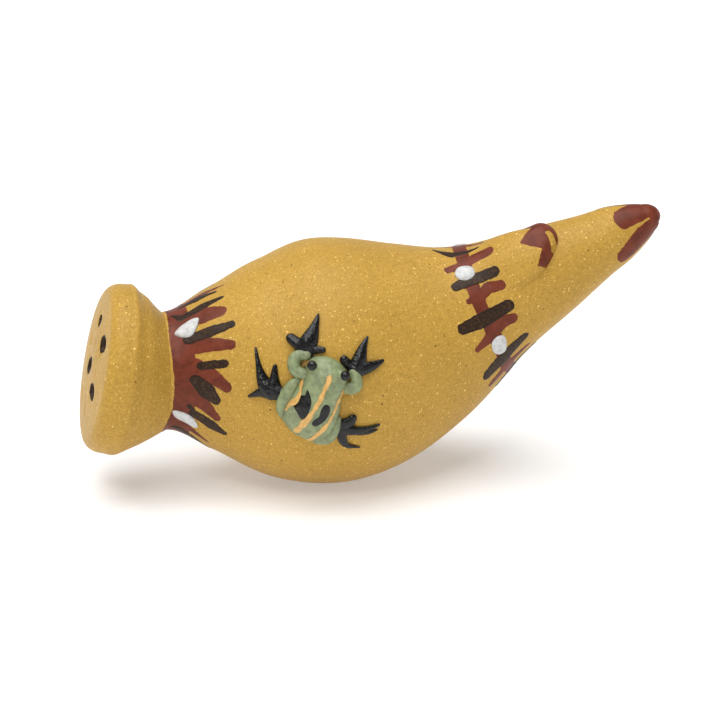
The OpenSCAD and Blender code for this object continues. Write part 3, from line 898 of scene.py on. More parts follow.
def prism(profile, width):
    """A cutter: a profile along and out from the windway, drawn across it."""
    p = np.array(profile, float)
    form = Form()
    rows = [np.stack([p[:, 0], np.full(len(p), y), p[:, 1]], -1) for y in (-width / 2, width / 2)]
    grid = np.stack(rows)
    form.grid(windway_place(grid[..., 0], grid[..., 1], grid[..., 2]), red=BARE, dark=BARE)
    return form.make("cutter")


def block(start, end, width, low, high):
    """A square-edged cutter along the windway."""
    return prism([(start, low), (end, low), (end, high), (start, high)], width)


def beak_skin():
    """The beak's form, from the end of the chamber inside its root to its tip.

    The chamber's nose is half an ellipse. A shelf leads to the outer skin. Near the tip the radius falls
    as the square root of one less a power of the way to the end.
    """
    nose = np.sin(np.radians(np.linspace(4, 90, 16)))
    shelf = np.linspace(NOSE_R, SHOULDER_R - 0.3, 6)[1:]
    outer = np.linspace(SHOULDER_AT, TIP_AT, 150)
    cap = np.sin(np.radians(np.linspace(0, 88, 22)))[1:]
    inner_s = np.concatenate([SHOULDER_AT + NOSE_L * np.sqrt(1 - nose**2), shelf * 0 + SHOULDER_AT])
    inner_r = np.concatenate([NOSE_R * nose, shelf])
    inside = around(inner_s[:, None], COLUMN_ANGLES[None], inner_r[:, None])
    s = np.concatenate([outer, TIP_AT + TIP_L * cap])
    near_end = np.clip((s - TIP_AT + TIP_ROUND) / (TIP_L + TIP_ROUND), 0, 1)
    share = np.sqrt(1 - near_end**2.8)
    s, a = np.meshgrid(s, COLUMN_ANGLES, indexing="ij")
    red, dark = red_depth(s, a), dark_depth(s, a)
    lift = hand_shape(s, a) + slip_lift(red, dark)
    skin = around(s, a, (body_radius(s) + lift) * share[:, None])
    bare = np.full((len(inner_s), COLUMNS), BARE)
    red, dark = np.concatenate([bare, red]), np.concatenate([bare, dark])
    form = Form()
    form.grid(np.concatenate([inside, skin]), red=red, dark=dark)
    return form


class OCARINA_OT_foot(bpy.types.Operator):
    """Builds the foot: its flared bell and the domed end disc with the finger holes."""

    bl_idname = "ocarina.foot"
    bl_label = "Foot"

    # Finger holes on the disc, as the part has them: place towards the frog's side, place up, radius
    HOLES = ((0.0, 0.0, 2.0), (8.84, 8.84, 2.0), (9.06, -4.23, 2.0), (-1.6, 11.88, 1.2))
    # Hollows pressed in the disc: place, width and depth
    HOLLOWS = (
        (0.3, 0.6, 3.0, 0.55), (9.4, 8.6, 3.4, 0.8), (9.2, -4.2, 3.0, 0.6), (-1.6, 11.9, 2.4, 0.5),
        (-6.5, 4.6, 2.2, 0.45), (-5.0, -9.0, 3.0, 0.25), (2.5, 6.5, 2.6, 0.3), (4.5, -10.5, 2.5, 0.2),
    )
    # Scratches across the disc: from, to and depth
    SCRATCHES = (
        ((-9, 12), (-3, -2), 0.16), ((-12, -3), (-4, -14), 0.18), ((2, 15), (7, 2), 0.12),
        ((-2, -4), (6, -14), 0.13), ((5, 4), (14, -1), 0.10), ((-14, 4), (-9, -8), 0.14),
    )

    def disc_height(self, x, y):
        """Height of the disc's face: a sphere's cap, less soft hollows and thin scratches."""
        half = FOOT_R - RIM_WIDE
        dome_r = (half**2 + FACE_DOME**2) / (2 * FACE_DOME)
        z = FACE_T - dome_r + np.sqrt(dome_r**2 - np.minimum(x * x + y * y, half**2))
        for at_x, at_y, width, depth in self.HOLLOWS:
            z = z - depth * np.exp(-((x - at_x) ** 2 + (y - at_y) ** 2) / width**2 * 1.6)
        for (ax, ay), (bx, by), depth in self.SCRATCHES:
            dx, dy = bx - ax, by - ay
            t = np.clip(((x - ax) * dx + (y - ay) * dy) / (dx * dx + dy * dy), 0, 1)
            away = np.hypot(x - ax - t * dx, y - ay - t * dy)
            z = z - depth * np.exp(-((away / 0.3) ** 2)) * np.sin(np.pi * np.clip(t, 0.02, 0.98))
        edge = smooth_step((half - np.hypot(x, y)) / 3)
        waves = 0.1 * np.sin(0.45 * x + 0.5) * np.sin(0.4 * y - 0.3) - 0.1
        return z + edge * waves

    def disc(self):
        """The disc: rows of its face from the middle, over the rim and back under.

        Across the rim the radius grows and the height falls as powers of the sine and cosine of a
        quarter turn.
        """
        point, along, up, side = place(DISC_AT)
        a = np.radians(COLUMN_ANGLES)
        edge = FACE_T - FACE_DOME
        half = FOOT_R - RIM_WIDE
        turn = np.radians(np.linspace(0, 90, 26))[1:]
        face = np.linspace(0.12, half, 100)
        under = np.linspace(FOOT_R - 0.4, 0.4, 5)
        r = np.concatenate([face, half + RIM_WIDE * np.sin(turn) ** 0.85, under])
        z = np.concatenate([face * 0, edge * np.abs(np.cos(turn)) ** 0.85, under * 0])
        r, b = np.meshgrid(r, a, indexing="ij")
        z = z[:, None] + 0 * r
        r = r + hand_shape(DISC_AT, COLUMN_ANGLES)[None] * smooth_step((r - 12) / 8)
        x, y = r * np.sin(b), r * np.cos(b)
        z[: len(face)] = self.disc_height(x, y)[: len(face)]
        z[len(face)] = z[len(face) - 1] * 0.5 + z[len(face)] * 0.5
        form = Form()
        # Dark slip just inside each finger hole's rim: painted shade in the holes' mouths
        depths = [hole_r + 0.05 - np.hypot(x - hx, y - hy) for hx, hy, hole_r in self.HOLES]
        hole_shade = np.minimum(np.maximum.reduce(depths), z - 2)
        spots = point + x[..., None] * side + y[..., None] * up - z[..., None] * along
        form.grid(spots, red=BARE, dark=hole_shade)
        return form.make("foot_face_form")

    def hole_cutter(self):
        """Pins for the finger holes: rounds made uneven by sines of the angle.

        Their flare grows as the square of the way past a place a little under the face.
        """
        point, along, up, side = place(DISC_AT)
        a = np.linspace(0, 2 * np.pi, 64, endpoint=False)
        form = Form()
        for i, (hx, hy, hole_r) in enumerate(self.HOLES):
            top = self.disc_height(np.array(hx), np.array(hy))
            z = np.concatenate([[-1, 0, 2], top + np.linspace(-1.6, 0.7, 12)])
            flare = 0.42 * np.clip((z - top + 0.7) / 1.0, 0, 1.2) ** 2
            waves = 0.08 * np.sin(2 * a + i) + 0.05 * np.sin(3 * a + 2 * i) + 0.04 * np.sin(7 * a + i)
            r = hole_r * (1 + waves) + flare[:, None]
            x, y = hx + r * np.cos(a), hy + r * np.sin(a)
            spots = point + x[..., None] * side + y[..., None] * up - z[:, None, None] * along
            # The dark slip deepens down each hole: painted shade on the finger holes' walls
            form.grid(spots, red=BARE, dark=0 * r + (top - z[:, None]) * 0.12 - 0.05)
        return form.make("cutter")

    def execute(self, context):
        disc = carved(self.disc(), self.hole_cutter())
        finish_piece(disc, "clay", "foot_face")
        form = Form()
        shell(form, two_rates(DISC_AT, FOOT_ROWS, -NECK_AT, 30, 13), 10)
        finish_form(form, "clay", "foot_bell")
        return {"FINISHED"}


class OCARINA_OT_bowls(bpy.types.Operator):
    """Builds the two bowls of the chamber, with the sound window in the beak's side one."""

    bl_idname = "ocarina.bowls"
    bl_label = "Bowls"

    def execute(self, context):
        form = Form()
        shell(form, two_rates(-NECK_AT, NECK_ROWS, SEAM_AT, 60, 26), 14)
        finish_form(form, "clay", "tail_bowl")
        form = Form()
        shell(form, two_rates(SEAM_AT, SHOULDER_ROWS, SHOULDER_AT, 60, 34), 20)
        bowl = form.make("beak_bowl_form")
        slope = RAMP_L * np.tan(np.radians(RAMP_ANGLE))
        window = prism([
            (1, -2 * WALL), (-WINDOW_L, -2 * WALL), (-WINDOW_L, WINDWAY_H / 2),
            (-WINDOW_L - RAMP_L, WINDWAY_H / 2 + slope), (1, WINDWAY_H / 2 + slope),
        ], WINDWAY_W)
        carved(bowl, window)
        finish_piece(bowl, "clay", "beak_bowl")
        return {"FINISHED"}


class OCARINA_OT_beak(bpy.types.Operator):
    """Builds the beak with its windway, and the strip of clay that closes the windway."""

    bl_idname = "ocarina.beak"
    bl_label = "Beak"

    # Room left around the strip, where it lies in the beak
    GAP = 0.1

    def execute(self, context):
        beak = beak_skin().make("beak_form")
        lap = WINDWAY_W + 2 * STRIP_LAP
        carved(beak, block(-BELLY_R, BEAK_L + BELLY_R, WINDWAY_W, 0, WINDWAY_H))
        carved(beak, block(-BELLY_R, STRIP_L, lap, WINDWAY_H, BELLY_R))
        finish_piece(beak, "clay", "beak")
        strip = beak_skin().make("windway_strip_form")
        kept = block(-BELLY_R, STRIP_L - self.GAP, lap - 2 * self.GAP, WINDWAY_H, BELLY_R)
        carved(strip, kept, "INTERSECT")
        finish_piece(strip, "clay", "windway_strip")
        return {"FINISHED"}


class OCARINA_OT_lobe(bpy.types.Operator):
    """Builds the lobe: a tongue of clay that lies along the beak and ends free, with a red cap."""

    bl_idname = "ocarina.lobe"
    bl_label = "Lobe"

    # Middle of the lobe, as place and angle, and its height
    MIDDLE = (67.3, 31.0)
    HEIGHT = 3.8
    # Rim of the lobe from its middle, along the body and around it towards the frog's side
    RIM = [(7.0, 0.5), (6.0, 3.6), (3.8, 6.4), (0.4, 8.8), (-4, 10.2), (-9, 10.6), (-14, 9.6), (-18, 5),
           (-19, -3), (-15, -9), (-7, -10), (0, -8.8), (4.2, -6), (6.6, -2.8)]
    # Rows of its skin, and how far its underside is sunk in the clay
    ROWS = 90
    SINK = 0.4

    def turned(self, y):
        """Angle around the body at y from the lobe's middle."""
        return self.MIDDLE[1] + y / degree_length(self.MIDDLE[0])

    def spot(self, x, y, lift):
        """A point of the lobe: x along the body, y around it, and its free end leaning outwards."""
        s = self.MIDDLE[0] + x + 0.25 * np.maximum(lift, 0) * smooth_step((x + 4) / 7)
        return on_clay(s, self.turned(y), lift)

    def height(self, x, y, t):
        """A full round at the free end, a crease on the frog's side, and a slow slope on the other sides."""
        turn = np.arctan2(y, x)
        full = smooth_step(0.55 + 0.8 * np.cos(turn - 0.45))
        round_edge = np.sqrt(np.maximum(1 - t**3.2, 0))
        slow = 0.5 + 0.5 * np.cos(np.pi * t)
        crease = 1.2 * smooth_step((y - 2) / 4) * np.exp(-(((t - 0.97) / 0.1) ** 2))
        return self.HEIGHT * (full * round_edge + (1 - full) * slow) - 0.1 - crease

    def red(self, x, y):
        """Depth inside the cap's red slip: past a jagged line, less a lens of bare clay near the end."""
        line = -2.2 + 3.4 * np.abs((y / 3.0 + 0.6) % 2 - 1) + 0.3 * np.maximum(y - 3, 0)
        lens = 0.8 - np.hypot(x - 5.0 + 0.07 * (y - 2.5) ** 2, np.maximum(np.abs(y - 3.0) - 2.0, 0) * 1.2)
        body = red_depth(self.MIDDLE[0] + x, self.turned(y))
        return np.maximum(np.minimum(x - line, -lens), body)

    def dark(self, x, y):
        """Depth inside the shoulder's dark strokes, which run on over the lobe's root."""
        return dark_depth(self.MIDDLE[0] + x, self.turned(y))

    def execute(self, context):
        rim = curve_through(self.RIM, 200, closed=True)
        form = Form()
        slip = {"red": self.red, "dark": self.dark}
        cushion(form, (0, 0), rim, self.spot, self.height, self.SINK, self.ROWS, **slip)
        finish_form(form, "clay", "lobe")
        return {"FINISHED"}


class OCARINA_OT_dots(bpy.types.Operator):
    """Builds the raised white dots around the neck and around the shoulder."""

    bl_idname = "ocarina.dots"
    bl_label = "White dots"

    # Place, angle, and outline from the middle: along the body, and around it towards the frog's side
    NECK = [
        (-34.9, 32.5, [
            (-3.4, 0.6), (-1.8, -1.5), (0.8, -2.5), (2.9, -1.9), (2.0, 0.8), (0.6, 2.4), (-1.2, 2.3)]),
        (-36.2, 119, [
            (-3.2, -2.0), (-0.8, -1.9), (1.8, -1.0), (3.2, 1.2), (2.7, 2.3), (0, 1.5), (-2.4, 0.4)]),
        (-35, 212, [(-3.0, 0.2), (-1.4, -1.9), (1.2, -2.0), (2.8, -0.4), (1.8, 1.6), (-0.8, 2.2)]),
        (-35, 302, [(-2.8, -0.6), (-0.6, -2.2), (1.8, -1.7), (3.0, 0.4), (1.2, 2.0), (-1.6, 1.6)]),
    ]
    SHOULDER = [
        (49.3, 38.5, [
            (-2.5, -0.3), (-1.2, -2.1), (1.2, -2.0), (2.4, -0.5), (1.9, 1.6), (-0.2, 2.3), (-2.0, 1.4)]),
        (48.3, 111.5, [
            (-1.4, -2.2), (0.6, -2.7), (2.1, -1.6), (1.9, 0.6), (0.6, 2.6), (-1.3, 2.1), (-2.2, 0)]),
        (48.2, 183, [(-2.3, 0.2), (-0.8, -2.2), (1.6, -1.8), (2.3, 0.4), (0.6, 2.2), (-1.4, 1.8)]),
        (49, 255, [(-2.1, -0.6), (-0.4, -2.3), (1.9, -1.4), (2.1, 0.9), (0.2, 2.2), (-1.7, 1.4)]),
        (49.8, 327, [(-2.3, -0.2), (-1.0, -2.0), (1.3, -2.0), (2.2, 0.2), (1.1, 2.0), (-1.2, 1.8)]),
    ]

    def dab(self, form, s, angle, outline, height):
        """One dot: a low dome over an uneven outline, with a slightly lumpy top."""
        rim = curve_through(outline, 72, closed=True)

        def spot(x, y, lift):
            return on_clay(s + x, angle + y / degree_length(s), lift + RED_LIFT)

        def top(x, y, t):
            lumps = 1 + 0.12 * np.sin(1.7 * x + s) * np.cos(1.9 * y + angle)
            return height * lumps * np.sqrt(np.maximum(1 - t**2.6, 0))

        cushion(form, (0, 0), rim, spot, top, 0.3, 24)

    def execute(self, context):
        height = context.scene.ocarina_slip.dot_height / MM
        for name, dots in (("neck_dots", self.NECK), ("shoulder_dots", self.SHOULDER)):
            form = Form()
            for s, angle, outline in dots:
                self.dab(form, s, angle, outline, height)
            finish_form(form, "white_slip", name)
        return {"FINISHED"}


# ---------------------------------------------------------------- the frog


# Outline of the frog's body, x to its right and y to its head
FROG_RIM = curve_through([
    (-6.2, 5.6), (-6.6, 8.2), (-5.4, 10.2), (-2.8, 11.8), (0.6, 12.6), (3.2, 12.4), (5.6, 11.4), (6.6, 9.4),
    (6.2, 6.8), (6.4, 4.2), (7.2, 1.0), (7.6, -2.4), (7.5, -6.0), (6.4, -8.4), (4.4, -9.9), (1.8, -10.3),
    (-0.6, -10.4), (-3.4, -9.4), (-5.6, -7.8), (-6.8, -5.0), (-7.0, -1.5), (-6.5, 2.4),
], 160, closed=True)
# Places of its middle and its eyes, and the height of its back
FROG_MIDDLE = (0.3, 1.0)
LEFT_EYE = (-5.3, 8.0)
RIGHT_EYE = (4.9, 10.2)
FROG_H = 4.7
# How far the edges of the frog's body and marks are sunk
FROG_SINK = 0.3


def frog_place(x, y, h):
    """A point by the frog: x to its right, y to its head, and h above the clay."""
    turn = np.radians(FROG_AT[2])
    u = y * np.sin(turn) + x * np.cos(turn)
    v = y * np.cos(turn) - x * np.sin(turn)
    return on_clay(FROG_AT[0] + u, FROG_AT[1] - v / degree_length(FROG_AT[0]), h)


def bump(x, y, at, width):
    """A soft round bump of height one."""
    return np.exp(-((x - at[0]) ** 2 + (y - at[1]) ** 2) / width**2)


def back_height(x, y):
    """Height of the frog's back.

    A full dome: the square root of one less a power of the way out to the rim. Soft bumps raise the head,
    the rump and the eyes. Furrows lie beside the thighs and behind the head, and waves make it lumpy.
    """
    dx, dy = FROG_RIM[:, 0] - FROG_MIDDLE[0], FROG_RIM[:, 1] - FROG_MIDDLE[1]
    rim_turn = np.degrees(np.arctan2(dy, dx)) % 360
    order = np.argsort(rim_turn)
    turn = np.degrees(np.arctan2(y - FROG_MIDDLE[1], x - FROG_MIDDLE[0])) % 360
    reach = np.interp(turn, rim_turn[order], np.hypot(dx, dy)[order], period=360)
    t = np.clip(np.hypot(x - FROG_MIDDLE[0], y - FROG_MIDDLE[1]) / reach, 0, 1)
    h = FROG_H * np.sqrt(np.maximum(1 - t**2.7, 0))
    inside = smooth_step((1 - t) / 0.18)
    h = h + inside * (0.55 * bump(x, y, (0.2, 7.4), 4.2) + 0.35 * bump(x, y, (0.5, -2.5), 5.5))
    h = h + inside * (0.9 * bump(x, y, LEFT_EYE, 1.7) + 0.9 * bump(x, y, RIGHT_EYE, 1.7))
    left = np.exp(-(((x + 5.4 - 0.12 * y) / 0.7) ** 2))
    left = left * smooth_step((4.0 - y) / 2) * smooth_step((y + 5) / 3)
    right = np.exp(-(((x - 5.6 - 0.1 * y) / 0.8) ** 2))
    right = right * smooth_step((-1.0 - y) / 2) * smooth_step((y + 8) / 2)
    nape = np.exp(-(((y - 4.9 + 0.05 * x * x) / 1.1) ** 2))
    fine = 0.5 * np.sin(2.1 * x - 0.7 * y) * np.sin(1.7 * y + 0.9 * x)
    lumps = np.sin(0.9 * x + 0.4) * np.sin(0.8 * y + 1.1) + fine
    return h - inside * (0.8 * left + 0.5 * right + 0.35 * nape - 0.2 * lumps)


def build_strands(table, slot, *shape):
    """Builds a piece for each entry of a table, out of the entry's strands."""
    for name, strands in table.items():
        form = Form()
        for path, radii in strands:
            strand(form, path, radii, frog_place, *shape)
        finish_form(form, slot, name)


class OCARINA_OT_frog_body(bpy.types.Operator):
    """Builds the frog's head and body in one form."""

    bl_idname = "ocarina.frog_body"
    bl_label = "Frog body"

    def execute(self, context):
        form = Form()
        cushion(form, FROG_MIDDLE, FROG_RIM, frog_place, lambda x, y, t: back_height(x, y), FROG_SINK, 90)
        finish_form(form, "frog_green", "frog_body")
        return {"FINISHED"}


class OCARINA_OT_frog_limbs(bpy.types.Operator):
    """Builds the frog's arms and thighs."""

    bl_idname = "ocarina.frog_limbs"
    bl_label = "Frog limbs"

    # Each limb's strands: points (x, y, height) along it, with its radii
    LIMBS = {
        "frog_left_arm": [
            ([(-5.8, 5.2, 1.6), (-8.6, 5.0, 1.4), (-10.1, 6.8, 1.3), (-9.3, 8.8, 1.3), (-7.4, 9.7, 1.2)],
             [1.3, 1.6, 1.7, 1.5, 1.2]),
        ],
        "frog_right_arm": [
            ([(6.0, 7.4, 1.4), (8.0, 8.0, 1.4), (9.2, 9.2, 1.3), (8.6, 10.8, 1.2), (7.4, 11.6, 1.1)],
             [1.3, 1.6, 1.6, 1.4, 1.1]),
        ],
        "frog_left_thigh": [
            ([(-7.0, 3.0, 1.0), (-7.7, 0.6, 1.3), (-7.6, -2.4, 1.4), (-6.9, -5.2, 1.2), (-5.6, -7.2, 0.9)],
             [1.0, 1.5, 1.7, 1.5, 1.0]),
        ],
        "frog_right_thigh": [
            ([(7.4, -0.8, 0.9), (7.5, -3.4, 1.3), (7.1, -6.2, 1.4), (5.6, -8.4, 1.1)],
             [1.0, 1.6, 1.8, 1.2]),
        ],
    }
    # Height of a strand as a share of its width, and the sides and rows of its skin
    FLATNESS = 0.95
    SIDES = 28
    ROWS = 40

    def execute(self, context):
        build_strands(self.LIMBS, "frog_green", self.FLATNESS, self.SIDES, self.ROWS)
        return {"FINISHED"}


class OCARINA_OT_frog_feet(bpy.types.Operator):
    """Builds the frog's spiky black feet: palms with tapered toes."""

    bl_idname = "ocarina.frog_feet"
    bl_label = "Frog feet"

    # Each foot's strands: points (x, y, height) along it, with its radii
    FEET = {
        "frog_left_forefoot": [
            ([(-8.4, 10.6, 0.5), (-7.8, 13.6, 0.6), (-7.4, 17.2, 0.6), (-7.1, 21.0, 0.5)],
             [2.4, 2.3, 1.3, 0.3]),
            ([(-8.6, 11.6, 0.5), (-11.2, 11.6, 0.6), (-13.4, 12.0, 0.6)], [1.8, 1.5, 1.3]),
            ([(-8.0, 11.0, 0.5), (-5.4, 12.2, 0.5), (-3.0, 13.2, 0.5)], [1.8, 1.1, 0.8]),
            ([(-9.6, 10.2, 0.8), (-8.0, 9.8, 0.9), (-6.2, 10.6, 0.7)], [1.1, 1.2, 0.9]),
        ],
        "frog_right_forefoot": [
            ([(8.0, 12.6, 0.5), (8.6, 15.6, 0.6), (9.0, 18.6, 0.6), (9.9, 21.7, 0.5)],
             [2.1, 1.8, 1.1, 0.3]),
            ([(8.6, 12.8, 0.5), (11.6, 14.4, 0.6), (13.8, 15.8, 0.5), (15.7, 17.3, 0.4)],
             [2.0, 1.5, 1.0, 0.45]),
            ([(7.6, 12.6, 0.5), (5.4, 13.2, 0.6), (4.0, 13.6, 0.6)], [1.5, 1.2, 1.1]),
        ],
        "frog_left_hindfoot": [
            ([(-10.8, -3.0, 0.6), (-13.6, -1.8, 0.6), (-16.8, 1.6, 0.6), (-20.1, 6.3, 0.4)],
             [2.4, 1.8, 0.8, 0.3]),
            ([(-10.6, -2.4, 0.6), (-12.2, 0.6, 0.6), (-13.5, 3.4, 0.5)], [2.3, 1.2, 0.6]),
            ([(-10.8, -3.2, 0.6), (-12.8, -5.0, 0.6), (-14.2, -7.6, 0.4)], [2.2, 1.2, 0.35]),
            ([(-11.0, -2.8, 0.9), (-9.0, -2.6, 0.9)], [2.1, 1.9]),
        ],
        "frog_right_hindfoot": [
            ([(9.2, -2.0, 0.5), (10.8, -0.4, 0.6), (11.3, 0.9, 0.6)], [1.5, 1.5, 1.1]),
            ([(9.6, -2.8, 0.5), (13.0, -2.2, 0.6), (16.4, -0.8, 0.5), (19.3, 0.9, 0.4)],
             [1.6, 1.3, 0.8, 0.3]),
            ([(14.6, -2.4, 0.5), (17.2, -1.6, 0.5), (19.2, -0.6, 0.4)], [0.8, 0.6, 0.25]),
            ([(10.2, -3.2, 0.5), (11.2, -5.4, 0.6), (13.4, -6.9, 0.5), (16.8, -6.6, 0.4)],
             [1.5, 1.2, 0.8, 0.25]),
            ([(9.4, -2.2, 0.5), (8.8, -4.2, 0.5), (8.1, -6.4, 0.5)], [1.2, 0.7, 0.3]),
        ],
    }
    # Height of a strand as a share of its width, the sides and rows of its skin, and how lumpy it is
    FLATNESS = 0.62
    SIDES = 24
    ROWS = 36
    LUMPS = 0.02

    def execute(self, context):
        build_strands(self.FEET, "frog_black", self.FLATNESS, self.SIDES, self.ROWS, self.LUMPS)
        return {"FINISHED"}


class OCARINA_OT_frog_marks(bpy.types.Operator):
    """Builds the frog's bead eyes, its raised yellow stripes and its black spots."""

    bl_idname = "ocarina.frog_marks"
    bl_label = "Frog eyes and marks"

    # Height of an eye's middle above the back
    EYE_UP = 0.25
    # Line of each stripe over the back, with its widths as shares of the stripe's width
    STRIPES = {
        "frog_left_stripe": (
            [(-6.3, 9.2), (-6.9, 8.0), (-7.0, 6.4), (-6.2, 3.6), (-5.4, 1.0), (-5.4, -1.6), (-6.2, -4.0),
             (-6.2, -6.6)],
            [0.5, 0.8, 0.9, 0.7, 0.6, 0.7, 0.8, 0.6]),
        "frog_middle_stripe": (
            [(0.6, 8.6), (0.2, 5.6), (-0.2, 2.0), (-0.8, -1.8), (-1.2, -5.4), (-1.0, -9.4)],
            [0.9, 1.1, 0.8, 1.0, 1.2, 1.1]),
        "frog_right_stripe": (
            [(6.6, 7.2), (5.8, 5.8), (5.1, 3.6), (4.8, 1.0), (4.2, -2.2), (3.4, -5.6), (3.0, -9.2)],
            [1.3, 1.2, 0.7, 0.6, 0.8, 1.0, 1.3]),
    }
    # Outlines of the spots
    SPOTS = {
        "frog_left_spot": [(-4.1, 2.3), (-3.0, 1.6), (-2.0, 0.4), (-1.7, -1.2), (-1.5, -3.2), (-2.2, -4.6),
                           (-3.8, -4.0), (-5.2, -3.2), (-4.9, -2.0), (-4.8, -1.0), (-5.0, 0.2), (-4.2, 0.9)],
        "frog_right_spot": [(1.5, 1.9), (2.7, 2.1), (3.5, 1.1), (3.3, -0.8), (2.6, -2.6), (1.6, -4.1),
                            (0.5, -4.0), (0.6, -2.8), (1.2, -1.4), (0.9, 0.4)],
    }

    def spot_top(self, x, y, t):
        """Height of a spot's top: the back's own, and a flat dome on it."""
        return back_height(x, y) + 0.22 * np.sqrt(np.maximum(1 - t**6, 0))

    def spot_seat(self, x, y, lift):
        """A point of a spot, whose underside lies a little below the back."""
        return frog_place(x, y, np.maximum(lift, back_height(x, y) - 0.4))

    def eye(self, name, at, diameter):
        """A bead: circles of latitude from pole to pole, set in the head."""
        up = np.linspace(-88, 88, 30)[:, None]
        turn = np.arange(48)[None] * 360 / 48
        up, turn = np.radians(up), np.radians(turn)
        x, y = np.array(at[0]), np.array(at[1])
        base = frog_place(x, y, back_height(x, y) + self.EYE_UP)
        x, y, z = np.cos(up) * np.cos(turn), np.cos(up) * np.sin(turn), np.sin(up) + 0 * turn
        form = Form()
        form.grid(base + diameter / 2 * np.stack([x, y, z], -1))
        finish_form(form, "frog_black", name)

    def stripe(self, form, line, shares, width):
        """A ribbon of slip along a line over the back, domed across and narrowing to its ends."""
        rows = 70
        path = curve_through(np.column_stack([line, shares]), rows)
        along = unit(np.gradient(path[:, :2], axis=0))
        to_end = np.minimum(np.linspace(0, 14, rows), np.linspace(14, 0, rows))
        end = np.sqrt(np.clip(to_end + 0.06, 0, 1))
        step = np.arange(rows)
        wobble = 1 + 0.2 * np.sin(0.27 * step + line[0][0]) + 0.12 * np.sin(0.63 * step + 2 * line[0][1])
        half = width / 2 * path[:, 2] * end * wobble
        a = np.linspace(0, 2 * np.pi, 24, endpoint=False)
        x = path[:, :1] + half[:, None] * np.cos(a) * along[:, 1:]
        y = path[:, 1:2] - half[:, None] * np.cos(a) * along[:, :1]
        lift = back_height(x, y) + 0.05 + np.where(np.sin(a) > 0, 0.24, 0.5) * np.sin(a) * end[:, None]
        form.grid(frog_place(x, y, lift))

    def execute(self, context):
        frog = context.scene.ocarina_frog
        self.eye("frog_left_eye", LEFT_EYE, frog.eye / MM)
        self.eye("frog_right_eye", RIGHT_EYE, frog.eye / MM)
        for name, (line, shares) in self.STRIPES.items():
            form = Form()
            self.stripe(form, line, shares, frog.stripe / MM)
            finish_form(form, "frog_yellow", name)
        for name, outline in self.SPOTS.items():
            form = Form()
            rim = curve_through(outline, 96, closed=True)
            middle = tuple(np.mean(outline, axis=0))
            cushion(form, middle, rim, self.spot_seat, self.spot_top, FROG_SINK, 24)
            finish_form(form, "frog_black", name)
        return {"FINISHED"}


# ---------------------------------------------------------------- the stage


# Light given off by the floor itself, as a lit table does
FLOOR_GLOW = 0.36


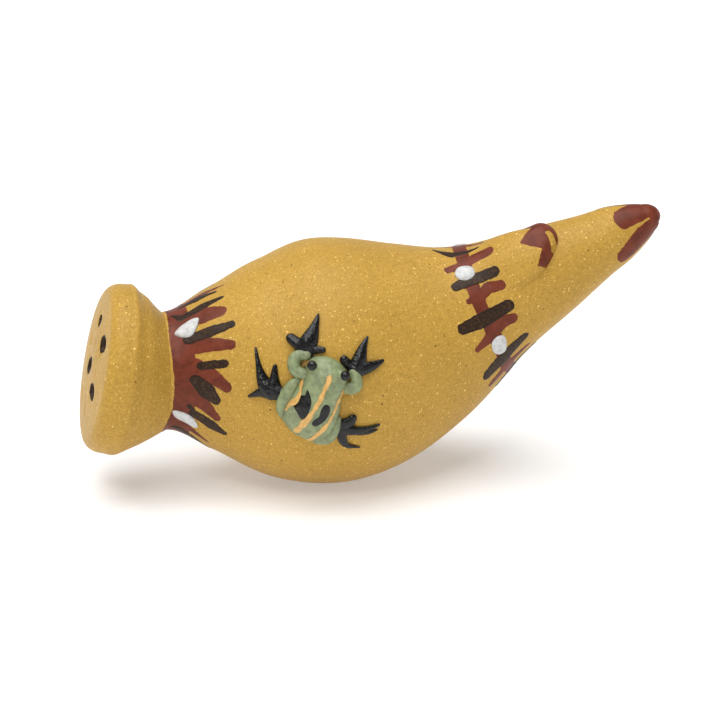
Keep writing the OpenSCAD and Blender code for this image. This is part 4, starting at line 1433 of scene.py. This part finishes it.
class OCARINA_OT_stage(bpy.types.Operator):
    """Sets the floor, the soft light and the camera."""

    bl_idname = "ocarina.stage"
    bl_label = "Stage"

    # The point that the camera looks at, before the move that sets the body at rest
    LOOK_AT = np.array([12.86, 0, 0.15])
    # Each softbox: name, share of the light, side and place in metres
    LIGHTS = (("softbox", 0.9, 1.4, (-0.2, -0.05, 1.25)), ("front_box", 0.1, 0.25, (-0.35, -0.85, 1.0)))
    # The floor in metres: half its side, how far from the piece it is level, and how steeply it sweeps up
    HALF = 3
    LEVEL = 1.3
    SWEEP = 0.6
    # The floor lies this far under the piece, so that the two never share a face
    GAP = 0.02 * MM
    # The camera's lens, its sensor's width, both in millimetres, and its nearest distance in metres
    LENS = 100
    SENSOR = 36
    NEAR = 0.01

    def floor(self, colour):
        """A floor that sweeps up far from the piece: its height grows as the square of the way past LEVEL."""
        side = np.linspace(-self.HALF, self.HALF, 61)
        x, y = np.meshgrid(side, side, indexing="ij")
        number = np.arange(x.size).reshape(x.shape)
        quads = np.stack([number[:-1, :-1], number[1:, :-1], number[1:, 1:], number[:-1, 1:]], -1)
        mesh = bpy.data.meshes.new("floor")
        sweep = self.SWEEP * np.maximum(np.hypot(x, y) - self.LEVEL, 0) ** 2
        points = np.stack([x, y, sweep - self.GAP], -1).reshape(-1, 3)
        mesh.from_pydata(points.tolist(), [], quads.reshape(-1, 4).tolist())
        floor = bpy.data.objects.new("floor", mesh)
        bpy.context.scene.collection.objects.link(floor)
        finish = Finish("pale_floor")
        cloud = finish.noise(0.004, 2.0)
        tone = cloud.mix(rgba(colour), shade(colour, 1.005))
        glow = {"Specular IOR Level": 0.0, "Emission Color": rgba(colour), "Emission Strength": FLOOR_GLOW}
        mesh.materials.append(finish.surface(tone, cloud * 0.02 + 0.9, cloud, 0.0, **glow))

    def execute(self, context):
        scene = context.scene
        stage = scene.ocarina_stage
        self.floor(tuple(stage.floor))
        world = bpy.data.worlds.new("even_sky")
        world.use_nodes = True
        sky = world.node_tree.nodes["Background"]
        sky.inputs["Color"].default_value = (1, 1, 1, 1)
        sky.inputs["Strength"].default_value = stage.sky
        scene.world = world
        for name, share, size, spot in self.LIGHTS:
            box = bpy.data.lights.new(name, "AREA")
            box.shape = "SQUARE"
            box.size = size
            box.energy = stage.softbox * share
            lamp = bpy.data.objects.new(name, box)
            lamp.location = spot
            lamp.rotation_euler = Vector(spot).to_track_quat("Z", "Y").to_euler()
            scene.collection.objects.link(lamp)
        az, el = stage.azimuth, stage.elevation
        back = Vector((np.sin(az) * np.cos(el), -np.cos(az) * np.cos(el), np.sin(el)))
        camera = bpy.data.cameras.new("camera")
        camera.lens = self.LENS
        camera.sensor_width = self.SENSOR
        camera.clip_start = self.NEAR
        eye = bpy.data.objects.new("camera", camera)
        eye.location = Vector((self.LOOK_AT + REST_MOVE) * MM) + stage.distance * back
        eye.rotation_euler = back.to_track_quat("Z", "Y").to_euler()
        scene.collection.objects.link(eye)
        scene.camera = eye
        scene.view_settings.view_transform = "Standard"
        return {"FINISHED"}


# ---------------------------------------------------------------- the add-on


OPERATORS = (
    OCARINA_OT_foot, OCARINA_OT_bowls, OCARINA_OT_beak, OCARINA_OT_lobe, OCARINA_OT_dots,
    OCARINA_OT_frog_body, OCARINA_OT_frog_limbs, OCARINA_OT_frog_feet, OCARINA_OT_frog_marks,
    OCARINA_OT_stage,
)
SETTINGS = {
    "ocarina_clay": ClaySettings, "ocarina_slip": SlipSettings,
    "ocarina_frog": FrogSettings, "ocarina_stage": StageSettings,
}


class OCARINA_PT_pieces(bpy.types.Panel):
    """Lists the ocarina's settings and the operators that build it."""

    bl_idname = "OCARINA_PT_pieces"
    bl_label = "Clay Ocarina"
    bl_space_type = "VIEW_3D"
    bl_region_type = "UI"
    bl_category = "Ocarina"

    def draw(self, context):
        for name, group in SETTINGS.items():
            box = self.layout.box()
            for key in group.__annotations__:
                box.prop(getattr(context.scene, name), key)
        for operator in OPERATORS:
            self.layout.operator(operator.bl_idname)


def register():
    for name, group in SETTINGS.items():
        bpy.utils.register_class(group)
        setattr(bpy.types.Scene, name, bpy.props.PointerProperty(type=group))
    for operator in OPERATORS:
        bpy.utils.register_class(operator)
    bpy.utils.register_class(OCARINA_PT_pieces)


def unregister():
    bpy.utils.unregister_class(OCARINA_PT_pieces)
    for operator in reversed(OPERATORS):
        bpy.utils.unregister_class(operator)
    for name, group in reversed(SETTINGS.items()):
        delattr(bpy.types.Scene, name)
        bpy.utils.unregister_class(group)


def main():
    """Builds every piece and the stage."""
    register()
    for operator in OPERATORS:
        group, name = operator.bl_idname.split(".")
        getattr(getattr(bpy.ops, group), name)()


if __name__ == "__main__":
    main()
